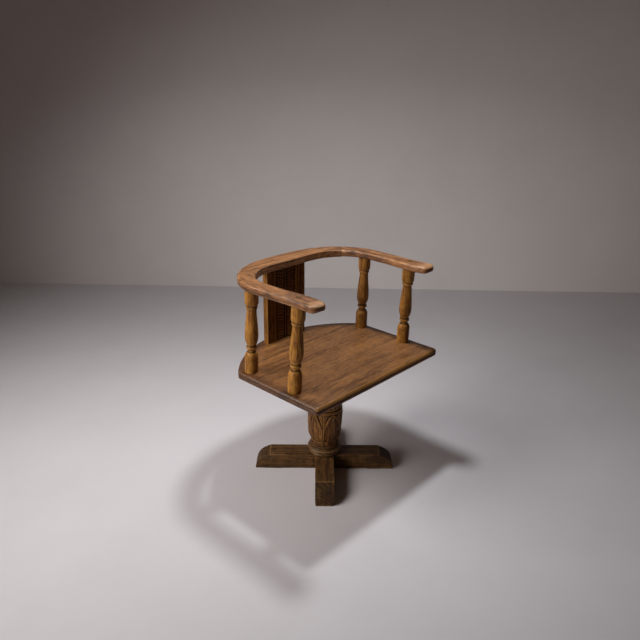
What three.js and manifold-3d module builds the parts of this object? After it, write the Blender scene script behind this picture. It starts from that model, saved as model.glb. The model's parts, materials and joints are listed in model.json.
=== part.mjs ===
// Swivel armchair in carved oak. A half-lapped cross base and a turned, carved baluster carry an
// iron swivel. The seat unit turns on it: a boarded seat, four turned spindles, a carved splat
// and a level arm rail made of three sawn pieces.
// Lengths are in millimetres and +Z is up. The origin is on the floor on the swivel axis, and the
// front of the seat faces -Y.
import * as THREE from 'three';
import { mergeVertices } from 'three/addons/utils/BufferGeometryUtils.js';
import Module from 'manifold-3d';

const wasm = await Module();
wasm.setup();

// Driving dimensions: seat
const seatHeight = 440;
const seatWidth = 606.6;
const seatDepth = 495.2;
const seatThickness = 24.7;
const seatSideLength = 346.2;
const seatFrontCornerRadius = 13;
const seatRearCornerRadius = 6;
const sharpestCornerRadius = 1;
const boardJointsFromFront = { front: 157.6, middle: 250.6, rear: 360.6 };
const thumbWidth = 11;
const thumbHeight = 11.5;
const quirkDepth = 1.8;
const quirkHeight = 1.6;
const beadRound = 3.6;
const beadSetback = 0.5;

// Driving dimensions: arm rail
const armHeight = 298.6;
const railThickness = 24.4;
const armWidth = 57;
const railSideSetIn = 7.8;
const railBackSetIn = 11.6;
const railFrontSetBack = 28.1;
const tipRadius = 20;
const armEdgeRadius = 8;
const backEdgeRadius = 5;
const crispEdgeRadius = 1.5;
const railDowelRadius = 5;
const railDowelLength = 50;

// Driving dimensions: spindles
const spindleRadius = 21.4;
const spindleTenonRadius = 9.5;
const spindleTenonDepth = 17;
const frontSpindle = { fromSide: 34.6, fromFront: 126.6, leanIn: 5.5, leanForward: 12.8 };
const rearSpindle = { fromSide: 32.9, fromBack: 175.6, leanIn: 2.7, leanForward: 8.5 };

// Driving dimensions: splat
const splatWidth = 180.4;
const splatThickness = 22;
const splatSetIn = 22.7;
const stileFaceWidth = 36.4;
const stileBeadWidth = 6.4;
const stileBeadDrop = 1.6;
const stileTenonWidth = 28;
const stileTenonThickness = 10;
const stileTenonLength = 14;
const panelTongueDepth = 6;
const panelTongueThickness = 8;
const panelSetback = 4;
const carvingRelief = 5;
const carvingRows = 12;
const stemGrooveWidth = 5;

// Driving dimensions: base
const baseLength = 494.8;
const beamWidth = 65.7;
const beamHeight = 59.1;
const noseLength = 54;
const footPadLength = 95;
const footPadDrop = 4.5;
const beamChamfer = 2.5;
const baseTurn = THREE.MathUtils.degToRad(-46.5);

// Driving dimensions: baluster
const bulbRadius = 60;
const footRingRadius = 60.3;
const footRingHeight = 29;
const neckRingsHeight = 20.8;
const bulbHeight = 130.5;
const capitalHeight = 55;
const columnTenonRadius = 22;
const columnTenonDepth = 34;
const leafCount = 5;
const leafGapDepth = 4.5;
const leafFieldDepth = 1.8;
const gadroonDepth = 1.2;
const columnTurn = THREE.MathUtils.degToRad(10.3);

// Driving dimensions: iron swivel and its fixings
const swivelPlateSetIn = 0.8;
const swivelPlateThickness = 5;
const thrustWasherRadius = 24;
const thrustWasherThickness = 2;
const seatPlateSideMargin = 18;
const seatPlateDepth = 130;
const pinRadius = 10;
const pinHeadRadius = 16;
const pinHeadHeight = 5;
const nutHeight = 12;
const lockNutHeight = 6;
const nutRadius = 17;
const nutWasherRadius = 19;
const nutWasherThickness = 2;
const pinEndLength = 5;
const recessMargin = 3;
const recessBottomSpace = 6;
const boltRadius = 5;
const boltReach = 45;
const boltHeadRadius = 9.5;
const boltHeadHeight = 5;
const boltWasherRadius = 15;
const boltWasherThickness = 2;
const boltPocketMargin = 1.5;
const screwRadius = 2.4;
const screwHeadRadius = 4.8;
const screwHeadHeight = 3;
const plateScrewLength = 20;
const baseScrewLength = 26;
const battenScrewLength = 30;
const plateScrewMargin = 12;

// Driving dimensions: battens under the seat
const battenWidth = 44;
const battenThickness = 18.8;
const battenSpread = 70;
const battenEndSetIn = 47.6;
const battenChamfer = 9;
const battenScrewFromEnd = 30;

// Space kept between pieces that touch or pass through each other, and a cutter's overrun
const clearance = 0.3;
const overrun = 4;

// Numbers of straight steps along curves
const spindleSides = 14;
const columnStepsPerLeaf = 8;
const roundSides = 24;
const screwSides = 8;
const hexSides = 6;
const cornerSteps = 3;

// Levels worked out from the driving dimensions, above the floor
const seatUnderside = seatHeight - seatThickness;
const battenTop = seatUnderside - clearance;
const battenBottom = battenTop - battenThickness;
const seatPlateTop = battenBottom - clearance;
const seatPlateBottom = seatPlateTop - swivelPlateThickness;
const thrustWasherTop = seatPlateBottom - clearance;
const thrustWasherBottom = thrustWasherTop - thrustWasherThickness;
const basePlateTop = thrustWasherBottom - clearance;
const basePlateBottom = basePlateTop - swivelPlateThickness;
const columnTop = basePlateBottom - clearance;
const footRingBottom = beamHeight + clearance;
const balusterBottom = footRingBottom + footRingHeight + clearance;
const bulbBottom = balusterBottom + neckRingsHeight;
const bulbTop = bulbBottom + bulbHeight;
const capitalBottom = columnTop - capitalHeight;
const coverHeight = capitalBottom - bulbTop;

// Levels of the seat unit, above the top of the seat
const railBottom = armHeight - railThickness;
const uprightBottom = clearance;
const uprightTop = railBottom - clearance;
const railMiddle = armHeight - railThickness / 2;

const oak = new THREE.MeshStandardMaterial({ color: 0x8a5a2f, roughness: 0.45, metalness: 0 });
const seatOak = new THREE.MeshStandardMaterial({ color: 0x6d4427, roughness: 0.35, metalness: 0 });
const darkOak = new THREE.MeshStandardMaterial({ color: 0x4f3826, roughness: 0.6, metalness: 0 });
const iron = new THREE.MeshStandardMaterial({ color: 0x2f2d2b, roughness: 0.55, metalness: 0.8 });

// Solids: a closed mesh goes in and out of the boolean library
function solidOf(geometry) {
  const bare = geometry.clone();
  bare.deleteAttribute('normal');
  bare.deleteAttribute('uv');
  const welded = mergeVertices(bare);
  const corners = welded.index.array;
  const kept = [];
  for (let i = 0; i < corners.length; i += 3) {
    const [a, b, c] = corners.slice(i, i + 3);
    if (a !== b && b !== c && c !== a) kept.push(a, b, c);
  }
  return new wasm.Manifold(new wasm.Mesh({
    numProp: 3,
    vertProperties: welded.attributes.position.array,
    triVerts: new Uint32Array(kept),
  }));
}

function geometryOf(solid) {
  const mesh = solid.getMesh();
  const geometry = new THREE.BufferGeometry();
  geometry.setAttribute('position', new THREE.BufferAttribute(mesh.vertProperties, mesh.numProp));
  geometry.setIndex(new THREE.BufferAttribute(mesh.triVerts, 1));
  return geometry;
}

function cut(geometry, tools) {
  return geometryOf(tools.reduce((solid, tool) => solid.subtract(solidOf(tool)), solidOf(geometry)));
}

function join(geometry, others) {
  return geometryOf(others.reduce((solid, other) => solid.add(solidOf(other)), solidOf(geometry)));
}

function common(geometry, other) {
  return geometryOf(solidOf(geometry).intersect(solidOf(other)));
}

// The mirror image across the plane between left and right
function mirrored(geometry) {
  const copy = geometry.clone();
  copy.scale(-1, 1, 1);
  const corners = copy.index.array;
  for (let i = 0; i < corners.length; i += 3) {
    [corners[i], corners[i + 1]] = [corners[i + 1], corners[i]];
  }
  return copy;
}

// A closed body through rings of points, each counterclockwise as seen from the last ring's side
function loft(rings) {
  const sides = rings[0].length;
  const middle = (ring) => ring.reduce((sum, p) => sum.add(p), new THREE.Vector3()).divideScalar(sides);
  const points = [...rings.flat(), middle(rings[0]), middle(rings.at(-1))];
  const [startMiddle, endMiddle] = [points.length - 2, points.length - 1];
  const end = (rings.length - 1) * sides;
  const faces = [];
  for (let j = 0; j < sides; j += 1) {
    const next = (j + 1) % sides;
    for (let row = 0; row < end; row += sides) {
      faces.push(row + j, row + next, row + sides + next);
      faces.push(row + j, row + sides + next, row + sides + j);
    }
    faces.push(startMiddle, next, j, endMiddle, end + j, end + next);
  }
  return new THREE.BufferGeometry().setFromPoints(points).setIndex(faces);
}

// A box between two corners
function block(low, high) {
  const box = new THREE.BoxGeometry(high[0] - low[0], high[1] - low[1], high[2] - low[2]);
  return box.translate((low[0] + high[0]) / 2, (low[1] + high[1]) / 2, (low[2] + high[2]) / 2);
}

// A turned body from [radius, height] pairs, given from the bottom up
function turned(profile, sides) {
  const points = profile.map(([radius, height]) => new THREE.Vector2(radius, height));
  const closed = [new THREE.Vector2(0, points[0].y), ...points, new THREE.Vector2(0, points.at(-1).y)];
  return new THREE.LatheGeometry(closed, sides).rotateX(Math.PI / 2);
}

function rod(radius, bottom, top, sides = roundSides) {
  return turned([[radius, bottom], [radius, top]], sides);
}

// A washer or plate with a round hole
function ringPlate(radius, holeRadius, bottom, top) {
  const profile = [[holeRadius, bottom], [radius, bottom], [radius, top], [holeRadius, top]];
  const points = [...profile, profile[0]].map(([r, height]) => new THREE.Vector2(r, height));
  return new THREE.LatheGeometry(points, roundSides).rotateX(Math.PI / 2);
}

// A countersunk screw whose head lies at height zero and whose point is at the given length
function screw(length) {
  return turned([
    [screwHeadRadius, 0],
    [screwRadius, screwHeadHeight],
    [screwRadius, length - screwHeadHeight],
    [screwRadius / 2, length],
  ], screwSides);
}

function screwHole(length) {
  return turned([
    [screwHeadRadius + clearance, -clearance],
    [screwHeadRadius + clearance, clearance],
    [screwRadius + clearance, screwHeadHeight + clearance],
    [screwRadius + clearance, length + clearance],
  ], screwSides);
}

function placed(geometry, x, y, z) {
  return geometry.clone().translate(x, y, z);
}

function piece(name, geometry, material, parent) {
  const mesh = new THREE.Mesh(geometry, material);
  mesh.name = name;
  parent.add(mesh);
  return mesh;
}

const chair = new THREE.Group();
const base = new THREE.Group();
base.rotation.z = baseTurn;
const seatUnit = new THREE.Group();
seatUnit.position.z = seatHeight;
chair.add(base, seatUnit);

// Cross base: two beams with sloping, rounded noses, lapped half into each other over the swivel
// axis. Along a nose, distances from the beam's end are shares of the nose's length, and heights
// shares of the beam's height.
const noseShares = [
  [0, 0], [0.03, 0.13], [0.09, 0.33], [0.2, 0.54], [0.34, 0.68], [0.5, 0.79], [0.7, 0.885], [1, 1],
];

function beamOutline() {
  const half = baseLength / 2;
  const padInner = half - footPadLength;
  const nose = noseShares.map(([back, height]) => [half - back * noseLength, height * beamHeight]);
  const right = [[padInner - footPadDrop, footPadDrop], [padInner, 0], ...nose];
  const left = right.map(([x, y]) => [-x, y]).reverse();
  return new THREE.Shape([...right, ...left].map(([x, y]) => new THREE.Vector2(x, y)));
}

function beam() {
  const geometry = new THREE.ExtrudeGeometry(beamOutline(), {
    depth: beamWidth - 2 * beamChamfer,
    bevelThickness: beamChamfer,
    bevelSize: beamChamfer,
    bevelOffset: -beamChamfer,
    bevelSegments: 1,
  });
  return geometry.rotateX(Math.PI / 2).translate(0, beamWidth / 2 - beamChamfer, 0);
}

const lapLevel = beamHeight / 2;
const lapHalfWidth = beamWidth / 2 + clearance;
const columnTenonBottom = beamHeight - columnTenonDepth;
const boltPocketTop = footPadDrop + boltHeadHeight + boltWasherThickness + 3 * clearance;
const columnMortise = rod(columnTenonRadius + clearance, columnTenonBottom - clearance,
  beamHeight + overrun);

function lowerBeam() {
  const lap = block(
    [-lapHalfWidth, -beamWidth, lapLevel - clearance / 2],
    [lapHalfWidth, beamWidth, beamHeight + overrun],
  );
  const boltHole = rod(boltRadius + clearance, 0, lapLevel);
  const boltPocket = rod(boltWasherRadius + boltPocketMargin, -overrun, boltPocketTop);
  return cut(beam(), [lap, columnMortise, boltHole, boltPocket]);
}

function upperBeam() {
  const lap = block(
    [-lapHalfWidth, -beamWidth, -overrun],
    [lapHalfWidth, beamWidth, lapLevel + clearance / 2],
  );
  return cut(beam(), [lap, columnMortise]).rotateZ(Math.PI / 2);
}

piece('base_beam_lower', lowerBeam(), darkOak, base);
piece('base_beam_upper', upperBeam(), darkOak, base);

// Foot ring: a separate turned torus that the baluster's tenon passes through
const footRingShares = [
  [0.9, 0], [0.93, 0.05], [0.955, 0.19], [0.99, 0.36], [1, 0.5], [0.995, 0.68], [0.965, 0.82],
  [0.92, 0.93], [0.87, 1],
];

function footRing() {
  const profile = footRingShares.map(([r, h]) => [r * footRingRadius, h * footRingHeight]);
  return cut(turned(profile, roundSides), [
    rod(columnTenonRadius + clearance, -overrun, footRingHeight + overrun),
  ]);
}

piece('column_foot_ring', footRing(), darkOak, base).position.z = footRingBottom;

// Baluster: turned rings, a carved cup of leaves, a gadrooned cover and a moulded capital.
// Radii are shares of the bulb's radius, and heights shares of each stretch.
const neckRingShares = [
  [0.79, 0], [0.79, 0.06], [0.835, 0.14], [0.845, 0.28], [0.83, 0.42], [0.77, 0.5], [0.81, 0.57],
  [0.825, 0.7], [0.81, 0.83], [0.76, 0.92], [0.77, 0.99],
];
const bulbShares = [
  [0.79, 0], [0.803, 0.027], [0.823, 0.057], [0.867, 0.096], [0.913, 0.134], [0.953, 0.18],
  [0.982, 0.234], [0.995, 0.31], [1.004, 0.387], [1.013, 0.5], [1.013, 0.65], [1.018, 0.755],
  [1.03, 0.83], [1.028, 0.875], [1.01, 0.91], [0.985, 0.923], [1.01, 0.937], [1.022, 0.962],
  [1.008, 0.99],
];
const coverShares = [
  [0.93, 0], [0.93, 0.03], [0.98, 0.06], [0.99, 0.18], [0.95, 0.38], [0.86, 0.57], [0.74, 0.72],
  [0.6, 0.86], [0.52, 0.93],
];
const capitalShares = [
  [0.5, 0], [0.57, 0.05], [0.58, 0.12], [0.5, 0.18], [0.46, 0.24], [0.46, 0.36], [0.52, 0.5],
  [0.64, 0.62], [0.78, 0.69], [0.82, 0.72], [0.84, 0.8], [0.82, 0.88], [0.78, 0.9], [0.78, 1],
];
const leafShares = {
  bottom: 0.06,
  shoulder: 0.463,
  crown: 0.86,
  top: 0.9,
  shoulderHalf: 1,
  crownHalf: 0.38,
  border: 0.25,
};

// Half the width of a leaf at a height, as a share of half its sector
function leafHalfShare(height) {
  const { shoulder, crown, top, shoulderHalf, crownHalf } = leafShares;
  if (height <= shoulder) return shoulderHalf;
  if (height <= crown) {
    return THREE.MathUtils.mapLinear(height, shoulder, crown, shoulderHalf, crownHalf);
  }
  return height <= top ? crownHalf * Math.sqrt((top - height) / (top - crown)) : 0;
}

// How deep the carving lies under the turned surface of the cup
function leafDepth(aside, height) {
  if (height <= leafShares.bottom || height >= leafShares.top) return 0;
  const half = leafHalfShare(height);
  const fieldHalf = half - leafShares.border;
  if (aside > half) return leafGapDepth;
  return aside < fieldHalf ? leafFieldDepth : 0;
}

// One ring of the baluster. A leaf's middle is at step zero of each sector, and the distance aside
// runs from zero there to one in the middle of the gap between two leaves.
function balusterRing(radius, height, depthAt) {
  const steps = leafCount * columnStepsPerLeaf;
  return Array.from({ length: steps }, (_, i) => {
    const step = i % columnStepsPerLeaf;
    const aside = Math.min(step, columnStepsPerLeaf - step) / (columnStepsPerLeaf / 2);
    const angle = (i / steps) * 2 * Math.PI;
    const r = radius - depthAt(aside, step);
    return new THREE.Vector3(r * Math.cos(angle), r * Math.sin(angle), height);
  });
}

function stretch(shares, bottom, height, depthAt = () => 0) {
  return shares.map(([r, h]) => balusterRing(r * bulbRadius, bottom + h * height,
    (aside, step) => depthAt(aside, step, h)));
}

const swivelPlateRadius = capitalShares.at(-1)[0] * bulbRadius - swivelPlateSetIn;
const recessRadius = nutWasherRadius + recessMargin;
const recessDepth = nutWasherThickness + nutHeight + lockNutHeight + pinEndLength
  + 3 * clearance + recessBottomSpace;
const baseScrewCircle = (recessRadius + swivelPlateRadius) / 2;

function baluster() {
  const gadroon = (_, step) => (step % 2) * gadroonDepth;
  const body = loft([
    balusterRing(columnTenonRadius, columnTenonBottom, () => 0),
    balusterRing(columnTenonRadius, balusterBottom, () => 0),
    ...stretch(neckRingShares, balusterBottom, neckRingsHeight),
    ...stretch(bulbShares, bulbBottom, bulbHeight, (aside, step, h) => leafDepth(aside, h)),
    ...stretch(coverShares, bulbTop, coverHeight, gadroon),
    ...stretch(capitalShares, capitalBottom, capitalHeight),
  ]);
  const holes = cornersOfSquare(baseScrewCircle).map(([x, y]) => (
    rod(screwRadius + clearance, columnTop - baseScrewLength, columnTop + overrun, screwSides)
      .translate(x, y, 0)));
  return cut(body, [
    rod(recessRadius, columnTop - recessDepth, columnTop + overrun),
    rod(boltRadius + clearance, columnTenonBottom - overrun, columnTenonBottom + boltReach),
    ...holes,
  ]);
}

// Four places on a circle, on the diagonals
function cornersOfSquare(radius) {
  const side = radius / Math.SQRT2;
  return [[side, side], [-side, side], [-side, -side], [side, -side]];
}

piece('column_baluster', baluster(), darkOak, base).rotation.z = columnTurn;

// Coach bolt and washer that draw the baluster down onto the cross
const boltHeadBottom = footPadDrop + clearance;
const boltWasherBottom = boltHeadBottom + boltHeadHeight + clearance;

function coachBolt() {
  const head = rod(boltHeadRadius, boltHeadBottom, boltHeadBottom + boltHeadHeight, hexSides);
  return join(head, [rod(boltRadius, boltHeadBottom, columnTenonBottom + boltReach - clearance)]);
}

piece('column_bolt', coachBolt(), iron, base);
piece('column_bolt_washer', ringPlate(boltWasherRadius, boltRadius + clearance, 0, boltWasherThickness),
  iron, base).position.z = boltWasherBottom;

// Lower swivel plate, screwed to the top of the baluster, and the washer it carries
const pinHoleRadius = (pinRadius + clearance) / Math.cos(Math.PI / roundSides);

function swivelBasePlate() {
  const plate = ringPlate(swivelPlateRadius, pinHoleRadius, 0, swivelPlateThickness);
  const holes = cornersOfSquare(baseScrewCircle).map(([x, y]) => (
    screwHole(baseScrewLength).rotateX(Math.PI).translate(x, y, swivelPlateThickness)));
  return cut(plate, holes);
}

const basePlate = piece('swivel_base_plate', swivelBasePlate(), iron, base);
basePlate.position.z = basePlateBottom;
basePlate.rotation.z = columnTurn;
const onBaluster = new THREE.Group();
onBaluster.position.z = basePlateTop;
onBaluster.rotation.z = columnTurn;
base.add(onBaluster);
const baseScrew = screw(baseScrewLength).rotateX(Math.PI);
cornersOfSquare(baseScrewCircle).forEach(([x, y], i) => {
  piece(`swivel_base_screw_${i + 1}`, baseScrew, iron, onBaluster).position.set(x, y, 0);
});
piece('swivel_thrust_washer', ringPlate(thrustWasherRadius, pinHoleRadius, 0, thrustWasherThickness),
  iron, base).position.z = thrustWasherBottom;

// Upper swivel plate, pin, nuts and screws, which turn with the seat
const seatPlateScrewAhead = seatPlateDepth / 2 - plateScrewMargin;
const plateScrewPlaces = [
  [battenSpread, seatPlateScrewAhead], [-battenSpread, seatPlateScrewAhead],
  [-battenSpread, -seatPlateScrewAhead], [battenSpread, -seatPlateScrewAhead],
];

function seatPlate() {
  const halfWidth = battenSpread + seatPlateSideMargin;
  const plate = block(
    [-halfWidth, -seatPlateDepth / 2, 0],
    [halfWidth, seatPlateDepth / 2, swivelPlateThickness],
  );
  const holes = plateScrewPlaces.map(([x, y]) => placed(screwHole(plateScrewLength), x, y, 0));
  return cut(plate, [rod(pinHoleRadius, -overrun, swivelPlateThickness + overrun), ...holes]);
}

const pinHeadBottom = seatPlateTop + clearance;
const nutWasherTop = basePlateBottom - clearance;
const nutTop = nutWasherTop - nutWasherThickness - clearance;
const lockNutTop = nutTop - nutHeight - clearance;
const pinBottom = lockNutTop - lockNutHeight - pinEndLength;

function swivelPin() {
  return turned([
    [pinRadius - clearance, pinBottom],
    [pinRadius, pinBottom + clearance],
    [pinRadius, pinHeadBottom],
    [pinHeadRadius, pinHeadBottom],
    [pinHeadRadius, pinHeadBottom + pinHeadHeight / 2],
    [pinHeadRadius / 2, pinHeadBottom + pinHeadHeight],
  ], roundSides);
}

function nut(height) {
  return cut(rod(nutRadius, -height, 0, hexSides), [rod(pinHoleRadius, -height - overrun, overrun)]);
}

const floorToSeatUnit = -seatHeight;
piece('swivel_pin', swivelPin(), iron, seatUnit).position.z = floorToSeatUnit;
piece('swivel_pin_washer', ringPlate(nutWasherRadius, pinHoleRadius, -nutWasherThickness, 0),
  iron, seatUnit).position.z = nutWasherTop + floorToSeatUnit;
piece('swivel_pin_nut', nut(nutHeight), iron, seatUnit).position.z = nutTop + floorToSeatUnit;
piece('swivel_pin_lock_nut', nut(lockNutHeight), iron, seatUnit).position.z = lockNutTop + floorToSeatUnit;
piece('swivel_seat_plate', seatPlate(), iron, seatUnit).position.z = seatPlateBottom + floorToSeatUnit;
const plateScrew = screw(plateScrewLength);
plateScrewPlaces.forEach(([x, y], i) => {
  piece(`swivel_seat_plate_screw_${i + 1}`, plateScrew, iron, seatUnit)
    .position.set(x, y, seatPlateBottom + floorToSeatUnit);
});

// Battens across the seat boards, with their screws
const seatFront = -seatDepth / 2;
const battenLength = seatDepth - 2 * battenEndSetIn;
const outerScrewRow = battenLength / 2 - battenScrewFromEnd;
const innerScrewRow = seatPlateDepth / 2 + plateScrewMargin;
const battenScrewRows = [-outerScrewRow, -innerScrewRow, innerScrewRow, outerScrewRow];

function batten() {
  const half = battenLength / 2;
  const outline = new THREE.Shape([
    new THREE.Vector2(-half, battenChamfer),
    new THREE.Vector2(battenChamfer - half, 0),
    new THREE.Vector2(half - battenChamfer, 0),
    new THREE.Vector2(half, battenChamfer),
    new THREE.Vector2(half, battenThickness),
    new THREE.Vector2(-half, battenThickness),
  ]);
  const bar = new THREE.ExtrudeGeometry(outline, { depth: battenWidth, bevelEnabled: false })
    .rotateX(Math.PI / 2).rotateZ(Math.PI / 2).translate(-battenWidth / 2, 0, 0);
  const plateHoles = [seatPlateScrewAhead, -seatPlateScrewAhead].map((y) => (
    rod(screwRadius + clearance, -overrun, plateScrewLength - swivelPlateThickness, screwSides)
      .translate(0, y, 0)));
  const ownHoles = battenScrewRows.map((y) => placed(screwHole(battenScrewLength), 0, y, 0));
  return cut(bar, [...plateHoles, ...ownHoles]);
}

const battenGeometry = batten();
const battenScrew = screw(battenScrewLength);
for (const [side, x] of [['left', -battenSpread], ['right', battenSpread]]) {
  const mesh = piece(`seat_batten_${side}`, battenGeometry, oak, seatUnit);
  mesh.position.set(x, 0, battenBottom + floorToSeatUnit);
  battenScrewRows.forEach((y, i) => {
    piece(`seat_batten_screw_${side}_${i + 1}`, battenScrew, iron, seatUnit)
      .position.set(x, y, battenBottom + floorToSeatUnit);
  });
}

// Spindles: turned balusters that lean a little forward and inward between seat and rail.
// Radii are shares of the spindle's radius, and heights shares of its length.
const spindleShares = [
  [1, -0.05], [1, 0.19], [0.93, 0.225], [0.78, 0.25], [0.57, 0.268], [0.57, 0.288],
  [0.78, 0.3], [0.79, 0.322], [0.68, 0.34], [0.83, 0.372], [0.95, 0.405], [1, 0.445],
  [0.97, 0.52], [0.87, 0.62], [0.76, 0.71], [0.71, 0.775], [0.84, 0.79], [0.84, 0.81],
  [0.79, 0.818], [0.94, 0.838], [1, 0.862], [1, 1.05],
];

function spindlePlace({ fromSide, leanIn, leanForward }, ahead) {
  const foot = new THREE.Vector3(seatWidth / 2 - fromSide, -ahead, 0);
  const axis = new THREE.Vector3(-leanIn, -leanForward, railBottom);
  const turn = new THREE.Quaternion().setFromUnitVectors(new THREE.Vector3(0, 0, 1),
    axis.clone().normalize());
  return new THREE.Matrix4().compose(foot, turn, new THREE.Vector3(1, 1, 1));
}

const spindlePlaces = {
  front: spindlePlace(frontSpindle, seatDepth / 2 - frontSpindle.fromFront),
  rear: spindlePlace(rearSpindle, rearSpindle.fromBack - seatDepth / 2),
};
const farReach = seatWidth;

function spindle(place) {
  const profile = spindleShares.map(([r, h]) => [r * spindleRadius, h * railBottom]);
  const body = turned(profile, spindleSides).applyMatrix4(place);
  const between = block([-farReach, -farReach, uprightBottom], [farReach, farReach, uprightTop]);
  const tenon = rod(spindleTenonRadius, -spindleTenonDepth, armHeight + overrun, spindleSides)
    .applyMatrix4(place);
  const below = block([-farReach, -farReach, -seatThickness], [farReach, farReach, armHeight]);
  return join(common(body, between), [common(tenon, below)]);
}

function spindleHole(place, bottom, top) {
  return rod(spindleTenonRadius + clearance, bottom, top, spindleSides).applyMatrix4(place);
}

const seatSpindleHoles = Object.values(spindlePlaces).flatMap((place) => {
  const hole = spindleHole(place, -spindleTenonDepth - clearance, overrun);
  return [hole, mirrored(hole)];
});

for (const [row, place] of Object.entries(spindlePlaces)) {
  const geometry = spindle(place);
  piece(`spindle_${row}_right`, geometry, oak, seatUnit);
  piece(`spindle_${row}_left`, mirrored(geometry), oak, seatUnit);
}

// Splat: two stiles with a bead on the inner edge, and the carved panel in their grooves
const railBackReach = seatDepth / 2 - railBackSetIn;
const splatBack = railBackReach - splatSetIn;
const splatFront = splatBack - splatThickness;
const stileInner = splatWidth / 2 - stileFaceWidth - stileBeadWidth;
const stileWidth = stileFaceWidth + stileBeadWidth;
const tongueMiddle = splatThickness / 2;
const grooveHalf = panelTongueThickness / 2 + clearance;

// Plan of the right stile: x from its inner edge, y from the splat's front face
function stile() {
  const bead = stileBeadWidth / 2;
  const outline = new THREE.Shape();
  outline.moveTo(0, stileBeadDrop + bead);
  outline.absarc(bead, stileBeadDrop + bead, bead, Math.PI, 2 * Math.PI, false);
  outline.lineTo(stileBeadWidth + stileBeadDrop, 0);
  outline.lineTo(stileWidth, 0);
  outline.lineTo(stileWidth, splatThickness);
  outline.lineTo(0, splatThickness);
  outline.lineTo(0, tongueMiddle + grooveHalf);
  outline.lineTo(panelTongueDepth + clearance, tongueMiddle + grooveHalf);
  outline.lineTo(panelTongueDepth + clearance, tongueMiddle - grooveHalf);
  outline.lineTo(0, tongueMiddle - grooveHalf);
  outline.closePath();
  const bar = new THREE.ExtrudeGeometry(outline, {
    depth: uprightTop - uprightBottom, bevelEnabled: false, curveSegments: 4,
  }).translate(stileInner, splatFront, uprightBottom);
  return join(bar, [stileTenon(0)]);
}

function stileTenon(space) {
  const middleX = stileInner + panelTongueDepth + (stileWidth - panelTongueDepth) / 2;
  const middleY = splatFront + splatThickness / 2;
  const halfWidth = stileTenonWidth / 2 + space;
  const halfThickness = stileTenonThickness / 2 + space;
  return block(
    [middleX - halfWidth, middleY - halfThickness, -stileTenonLength - space],
    [middleX + halfWidth, middleY + halfThickness, railBottom + stileTenonLength + space],
  );
}

const stileMortises = [stileTenon(clearance), mirrored(stileTenon(clearance))];

// Carved panel: pairs of leaves climb on both sides of a stem groove
const panelHalfWidth = stileInner - clearance;
const panelColumns = 8;
const panelRowSteps = 3;
const leafRiseShare = 0.55;
const lobeFallShare = 0.35;

function carvingDepth(x, z) {
  const aside = Math.abs(x);
  if (aside < stemGrooveWidth / 2) return carvingRelief;
  const rowHeight = (uprightTop - uprightBottom) / carvingRows;
  const rise = leafRiseShare * rowHeight * (aside / panelHalfWidth);
  const along = (((z - rise) / rowHeight) % 1 + 1) % 1;
  const lobe = Math.sin(Math.PI * along);
  return carvingRelief * (1 - lobe * (1 - lobeFallShare * (aside / panelHalfWidth)));
}

function carvedPanel() {
  const tongueFront = splatFront + tongueMiddle - panelTongueThickness / 2;
  const rows = carvingRows * panelRowSteps;
  const rings = [];
  for (let i = 0; i <= rows; i += 1) {
    const z = uprightBottom + (i / rows) * (uprightTop - uprightBottom);
    const ring = [];
    for (let j = 0; j <= panelColumns; j += 1) {
      const x = (2 * (j / panelColumns) - 1) * panelHalfWidth;
      const depth = carvingDepth(x, z - uprightBottom);
      ring.push(new THREE.Vector3(x, splatFront + panelSetback - carvingRelief / 2 + depth / 2, z));
    }
    ring.push(new THREE.Vector3(panelHalfWidth, splatBack - panelSetback, z));
    ring.push(new THREE.Vector3(-panelHalfWidth, splatBack - panelSetback, z));
    rings.push(ring);
  }
  const tongues = block(
    [-panelHalfWidth - panelTongueDepth, tongueFront, uprightBottom],
    [panelHalfWidth + panelTongueDepth, tongueFront + panelTongueThickness, uprightTop],
  );
  return join(loft(rings), [tongues]);
}

const stileGeometry = stile();
piece('splat_stile_right', stileGeometry, oak, seatUnit);
piece('splat_stile_left', mirrored(stileGeometry), oak, seatUnit);
piece('splat_panel', carvedPanel(), darkOak, seatUnit);

// Seat: one moulded outline, sawn into four boards whose grain runs from side to side
const backRise = seatDepth - seatSideLength;
const backRadius = ((seatWidth / 2) ** 2 + backRise ** 2) / (2 * backRise);
const backCentre = seatDepth / 2 - backRadius;
const backArcSteps = 18;

function arcPoints(x, y, radius, from, to, steps, z) {
  return Array.from({ length: steps + 1 }, (_, i) => {
    const angle = from + (i / steps) * (to - from);
    return new THREE.Vector3(x + radius * Math.cos(angle), y + radius * Math.sin(angle), z);
  });
}

function seatRing(inset, z) {
  const side = seatWidth / 2 - inset;
  const front = seatFront + inset;
  const frontRadius = Math.max(seatFrontCornerRadius - inset, sharpestCornerRadius);
  const rearRadius = Math.max(seatRearCornerRadius - inset, sharpestCornerRadius);
  const arcRadius = backRadius - inset;
  const rearX = side - rearRadius;
  const rearY = backCentre + Math.sqrt((arcRadius - rearRadius) ** 2 - rearX ** 2);
  const corner = Math.atan2(rearY - backCentre, rearX);
  const quarter = Math.PI / 2;
  return [
    ...arcPoints(side - frontRadius, front + frontRadius, frontRadius, -quarter, 0, cornerSteps, z),
    ...arcPoints(rearX, rearY, rearRadius, 0, corner, cornerSteps, z),
    ...arcPoints(0, backCentre, arcRadius, corner, Math.PI - corner, backArcSteps, z).slice(1, -1),
    ...arcPoints(-rearX, rearY, rearRadius, Math.PI - corner, Math.PI, cornerSteps, z),
    ...arcPoints(frontRadius - side, front + frontRadius, frontRadius, 2 * quarter, 3 * quarter,
      cornerSteps, z),
  ];
}

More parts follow.
